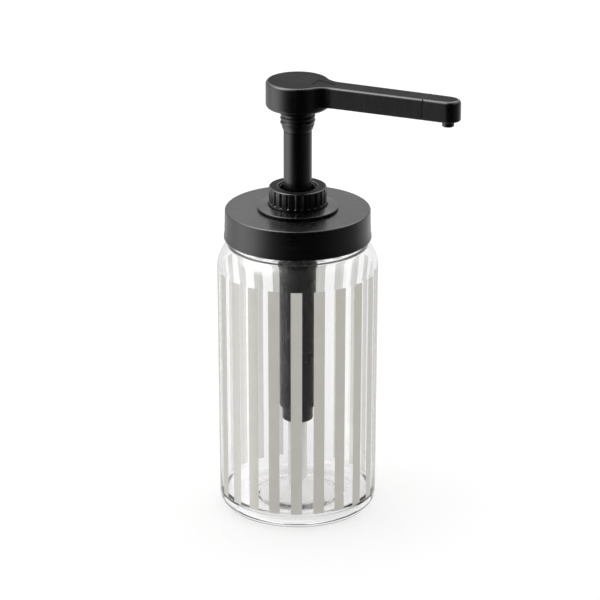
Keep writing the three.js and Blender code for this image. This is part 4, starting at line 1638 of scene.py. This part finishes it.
    def build_head(self) -> bpy.types.Object:
        """The whole head: pad, arm, lock thread, spigot and the liquid's way through them.

        Returns:
            The piece.
        """
        pad_z, arm_z, top = self.levels()
        channel_z = arm_z + self.channel_rise
        head = self.build_body()
        merge(head, self.build_mark(), Merge.CUT)
        lock = turn(
            "lock_core",
            [
                (self.rod_radius, self.lock_z),
                (self.lock_core, self.lock_z + self.lock_runout),
                (self.lock_core, pad_z - self.lock_root),
                (self.lock_core + self.lock_root, pad_z + self.lap),
                (self.lock_core + self.lock_root, pad_z + self.pad_bottom_round),
            ],
            self.rod_facets,
            solid=True,
        )
        start = pad_z - self.lock_turns * self.lock_pitch + self.lock_ridge
        ridge = Thread(
            self.lock_core, self.lock_ridge, self.lock_pitch, self.lock_turns, start, fade=self.lock_fade
        )
        merge(lock, ridge.build("lock_ridge"), Merge.JOIN)
        merge(head, lock, Merge.JOIN)
        seam = self.seam - self.seam_gap
        spigot = bore(
            "spigot",
            self.spigot,
            Vector((seam - self.spigot, 0, channel_z)),
            Vector((self.seam + self.spigot_length, 0, channel_z)),
        )
        merge(head, spigot, Merge.JOIN)
        neck_top = high("pump_rod") + self.neck_play
        outflow = self.seam + 2 * self.spigot_length
        drills = (
            (self.rod_neck + self.neck_play, Vector((0, 0, self.lock_z - 1)), Vector((0, 0, neck_top))),
            (self.rod_bore, Vector((0, 0, neck_top - 1)), Vector((0, 0, top - self.chamber_roof))),
            (self.channel, Vector((0, 0, channel_z)), Vector((outflow, 0, channel_z))),
        )
        for i, (radius, start_point, end_point) in enumerate(drills):
            merge(head, bore(f"drill_{i}", radius, start_point, end_point), Merge.CUT)
        groove = Vector((self.seam + self.spigot_length / 2, 0, channel_z))
        half, spare = Vector((self.ring_half, 0, 0)), Vector((2, 0, 0))
        ring = bore("ring_groove", self.socket, groove - half, groove + half)
        core = bore("groove_core", self.ring_core, groove - spare, groove + spare)
        merge(ring, core, Merge.CUT)
        merge(head, ring, Merge.CUT)
        return smooth(head, 30)

    def build_tip(self) -> bpy.types.Object:
        """The end cap of the spout, with its socket and the outlet below.

        Returns:
            The piece.
        """
        _, arm_z, top = self.levels()
        channel_z = arm_z + self.channel_rise
        half = self.arm_tip_half
        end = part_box("nozzle_tip")[1].x / MM
        start = self.seam + self.seam_gap
        centre_x = end - half
        tip = begin_at("spout_tip", (start * MM, -half * MM, top * MM))
        bpy.ops.mesh.extrude_vertices_move(TRANSFORM_OT_translate={"value": ((centre_x - start) * MM, 0, 0)})
        bpy.ops.mesh.spin(steps=36, angle=-math.pi, center=(centre_x * MM, 0, top * MM), axis=(0, 0, 1))
        bpy.ops.mesh.extrude_vertices_move(TRANSFORM_OT_translate={"value": ((start - centre_x) * MM, 0, 0)})
        bpy.ops.mesh.select_all(action="SELECT")
        bpy.ops.mesh.remove_doubles(threshold=WELD)
        bpy.ops.mesh.edge_face_add()
        bpy.ops.mesh.select_mode(type="FACE")
        bpy.ops.mesh.select_all(action="SELECT")
        extrude_up(arm_z - top)
        close_up(tip)

        def share(edge: bpy.types.MeshEdge) -> float:
            """Rounding of an edge as a share of the top one."""
            one, two = (tip.data.vertices[i].co / MM for i in edge.vertices)
            middle = (one + two) / 2
            if max(one.x, two.x) < start + NEAR:
                return self.seam_round / self.end_round
            if abs(one.z - two.z) > NEAR:
                return 0.0
            if one.z < top - NEAR:
                return self.arm_bottom_round / self.end_round
            around = max(0.0, min(1.0, (middle.x - centre_x + self.turn_lead) / self.turn_reach))
            return (self.arm_top_round + (self.end_round - self.arm_top_round) * around) / self.end_round

        soften(tip, self.end_round, share, self.round_steps + 2)
        close_up(tip)
        outlet_low = low("nozzle_tip")
        outlet = turn(
            "outlet",
            [
                (self.outlet_radius - BREAK, outlet_low),
                (self.outlet_radius, outlet_low + BREAK),
                (self.outlet_radius, arm_z - self.seam_round),
                (self.outlet_radius + BREAK, arm_z + self.lap),
                (self.outlet_radius + BREAK, arm_z + 2),
            ],
            self.outlet_facets,
            solid=True,
        )
        edit(outlet)
        bpy.ops.transform.translate(value=(self.outlet_x * MM, 0, 0))
        bpy.ops.object.mode_set(mode="OBJECT")
        merge(tip, outlet, Merge.JOIN)
        axis = Vector((0, 0, channel_z))
        across = Vector((1, 0, 0))
        down = Vector((self.outlet_x, 0, 0))
        socket_end = self.seam + self.spigot_length + self.neck_play
        drills = (
            (self.socket, axis + across * (start - 2), axis + across * socket_end),
            (self.channel, axis + across * start, axis + down),
            (self.outlet_bore, Vector((self.outlet_x, 0, outlet_low - 2)), axis + down),
        )
        for i, (radius, start_point, end_point) in enumerate(drills):
            merge(tip, bore(f"tip_drill_{i}", radius, start_point, end_point), Merge.CUT)
        return smooth(tip, 30)

    def build(self, palette: Palette) -> None:
        """Builds and mounts the rod, the head and the tip.

        Args:
            palette: the finishes.
        """
        palette.mount(self.build_rod(), "pump_plastic", Body.HEAD, "pump_rod")
        palette.mount(self.build_head(), "pump_plastic", Body.HEAD, "pump_head")
        palette.mount(self.build_tip(), "pump_plastic", Body.HEAD, "nozzle_tip")


# ---------------------------------------------------------------- studio


@dataclass
class Studio:
    """Pale floor, soft surroundings and the camera."""

    azimuth: float = 23.4
    pitch: float = 20.54
    distance: float = 2114.4
    height: float = 928.9
    lens: float = 217.26
    sensor: float = 36.0
    shift: float = 0.0038
    floor_size: float = 9000.0
    brightness: float = 1.12
    overhead: tuple[float, float] = (0.4, 0.75)
    overhead_gain: float = 5.0
    inner_share: float = 0.72  # of the softboxes in what shines behind the glass
    floor_colour: Colour = (0.82, 0.82, 0.82)
    floor_roughness: float = 0.9
    floor_glow: float = 0.28
    clip: tuple[float, float] = (0.05, 50)  # metres
    softboxes: tuple[tuple[float, float], ...] = (
        (-180, 1.0), (-140, 1.0), (-116, 1.6), (-97, 3.0), (-74, 3.0), (-56, 1.2), (-40, 0.25), (-20, 0.02),
        (20, 0.0), (45, 0.08), (75, 0.25), (100, 0.42), (122, 0.95), (150, 1.15), (180, 1.0),
    )

    def place_camera(self) -> None:
        """Adds the camera."""
        turned = math.radians(self.azimuth)
        data = bpy.data.cameras.new("view")
        data.lens = self.lens
        data.sensor_width = self.sensor
        data.shift_x = self.shift
        data.clip_start, data.clip_end = self.clip
        camera = bpy.data.objects.new("view", data)
        bpy.context.scene.collection.objects.link(camera)
        camera.location = Vector(
            (self.distance * math.sin(turned), -self.distance * math.cos(turned), self.height)
        ) * MM
        camera.rotation_euler = (math.radians(90 - self.pitch), 0, turned)
        bpy.context.scene.camera = camera

    def lay_floor(self) -> None:
        """Adds the plain pale floor, which a ray that has been mirrored once does not see."""
        deselect()
        bpy.ops.mesh.primitive_plane_add(size=self.floor_size * MM, location=(0, 0, 0))
        floor = settle("studio_floor")
        material, nodes = start_material("pale_floor")
        shader = nodes.add(
            "BsdfPrincipled", Base_Color=self.floor_colour, Roughness=self.floor_roughness,
            Emission_Color=(1, 1, 1), Emission_Strength=self.floor_glow,
        )
        depth = nodes.add("LightPath").outputs["Glossy Depth"]
        shone = nodes.math("GREATER_THAN", depth, ONE_BOUNCE)
        mirrored = nodes.math("MULTIPLY", shone, nodes.math("LESS_THAN", depth, TWO_BOUNCES))
        clear = nodes.add("BsdfTransparent")
        seen = nodes.mix(mirrored, shader.outputs["BSDF"], clear.outputs["BSDF"])
        nodes.add("OutputMaterial", Surface=seen)
        floor.data.materials.append(material)
        floor.visible_glossy = False

    def light(self) -> None:
        """Soft surroundings: even for most rays, but with side softboxes and a dark front for what shines."""
        world = bpy.data.worlds.new("soft_studio")
        bpy.context.scene.world = world
        world.use_nodes = True
        world.cycles.sampling_method = "NONE"
        nodes = Nodes(world.node_tree)
        turned = math.radians(self.azimuth)
        right = (math.cos(turned), math.sin(turned), 0)
        towards = (math.sin(turned), -math.cos(turned), 0)
        direction = nodes.add("TexCoord").outputs["Generated"]
        sideways = nodes.vector("DOT_PRODUCT", direction, right)
        forwards = nodes.vector("DOT_PRODUCT", direction, towards)
        bearing = nodes.math("ARCTAN2", sideways, forwards)
        place = nodes.math("ADD", nodes.math("DIVIDE", bearing, 2 * math.pi), 0.5)
        ramp = nodes.add("ValToRGB", Fac=place)
        elements = ramp.color_ramp.elements
        strongest = max(value for _, value in self.softboxes)
        for i, (angle, value) in enumerate(self.softboxes):
            spot = (angle + 180) / 360
            element = elements[i] if i < 2 else elements.new(spot)
            element.position = spot
            element.color = (*(value / strongest,) * 3, 1)
        around = nodes.math("MULTIPLY", ramp.outputs["Color"], strongest)
        above = nodes.add(
            "MapRange", Value=nodes.add("SeparateXYZ", Vector=direction).outputs["Z"],
            From_Min=self.overhead[0], From_Max=self.overhead[1], To_Min=1.0, To_Max=self.overhead_gain,
        )
        shining = nodes.math("MULTIPLY", around, above.outputs["Result"])
        path = nodes.add("LightPath").outputs
        depth = path["Glossy Depth"]
        outside = nodes.math("LESS_THAN", path["Transmission Depth"], ONE_BOUNCE)
        once = nodes.math("MULTIPLY", nodes.math("LESS_THAN", depth, TWO_BOUNCES), self.inner_share)
        reflected = nodes.math("MINIMUM", depth, 1.0)
        glossy = nodes.math("MULTIPLY", reflected, nodes.math("MAXIMUM", outside, once))
        plain = nodes.math("MULTIPLY", nodes.math("SUBTRACT", 1.0, glossy), self.brightness)
        strength = nodes.math("ADD", plain, nodes.math("MULTIPLY", glossy, shining))
        background = nodes.add("Background", Strength=strength)
        nodes.add("OutputWorld", Surface=background.outputs["Background"])

    def build(self) -> None:
        """Sets up the camera, the floor and the light."""
        self.place_camera()
        self.lay_floor()
        self.light()
        bpy.context.scene.view_settings.view_transform = "Standard"


def main() -> None:
    """Builds the studio and the object."""
    logging.basicConfig(level=logging.INFO, format="%(name)s: %(message)s")
    Studio().build()
    palette = Palette()
    palette.dress_cad_nodes()
    for assembly in (StripedJar(), ScrewLid(), PumpMount(), PumpBarrel(), Plunger()):
        assembly.build(palette)
        log.info("%s done", type(assembly).__name__)
    deselect()


if __name__ == "__main__":
    main()
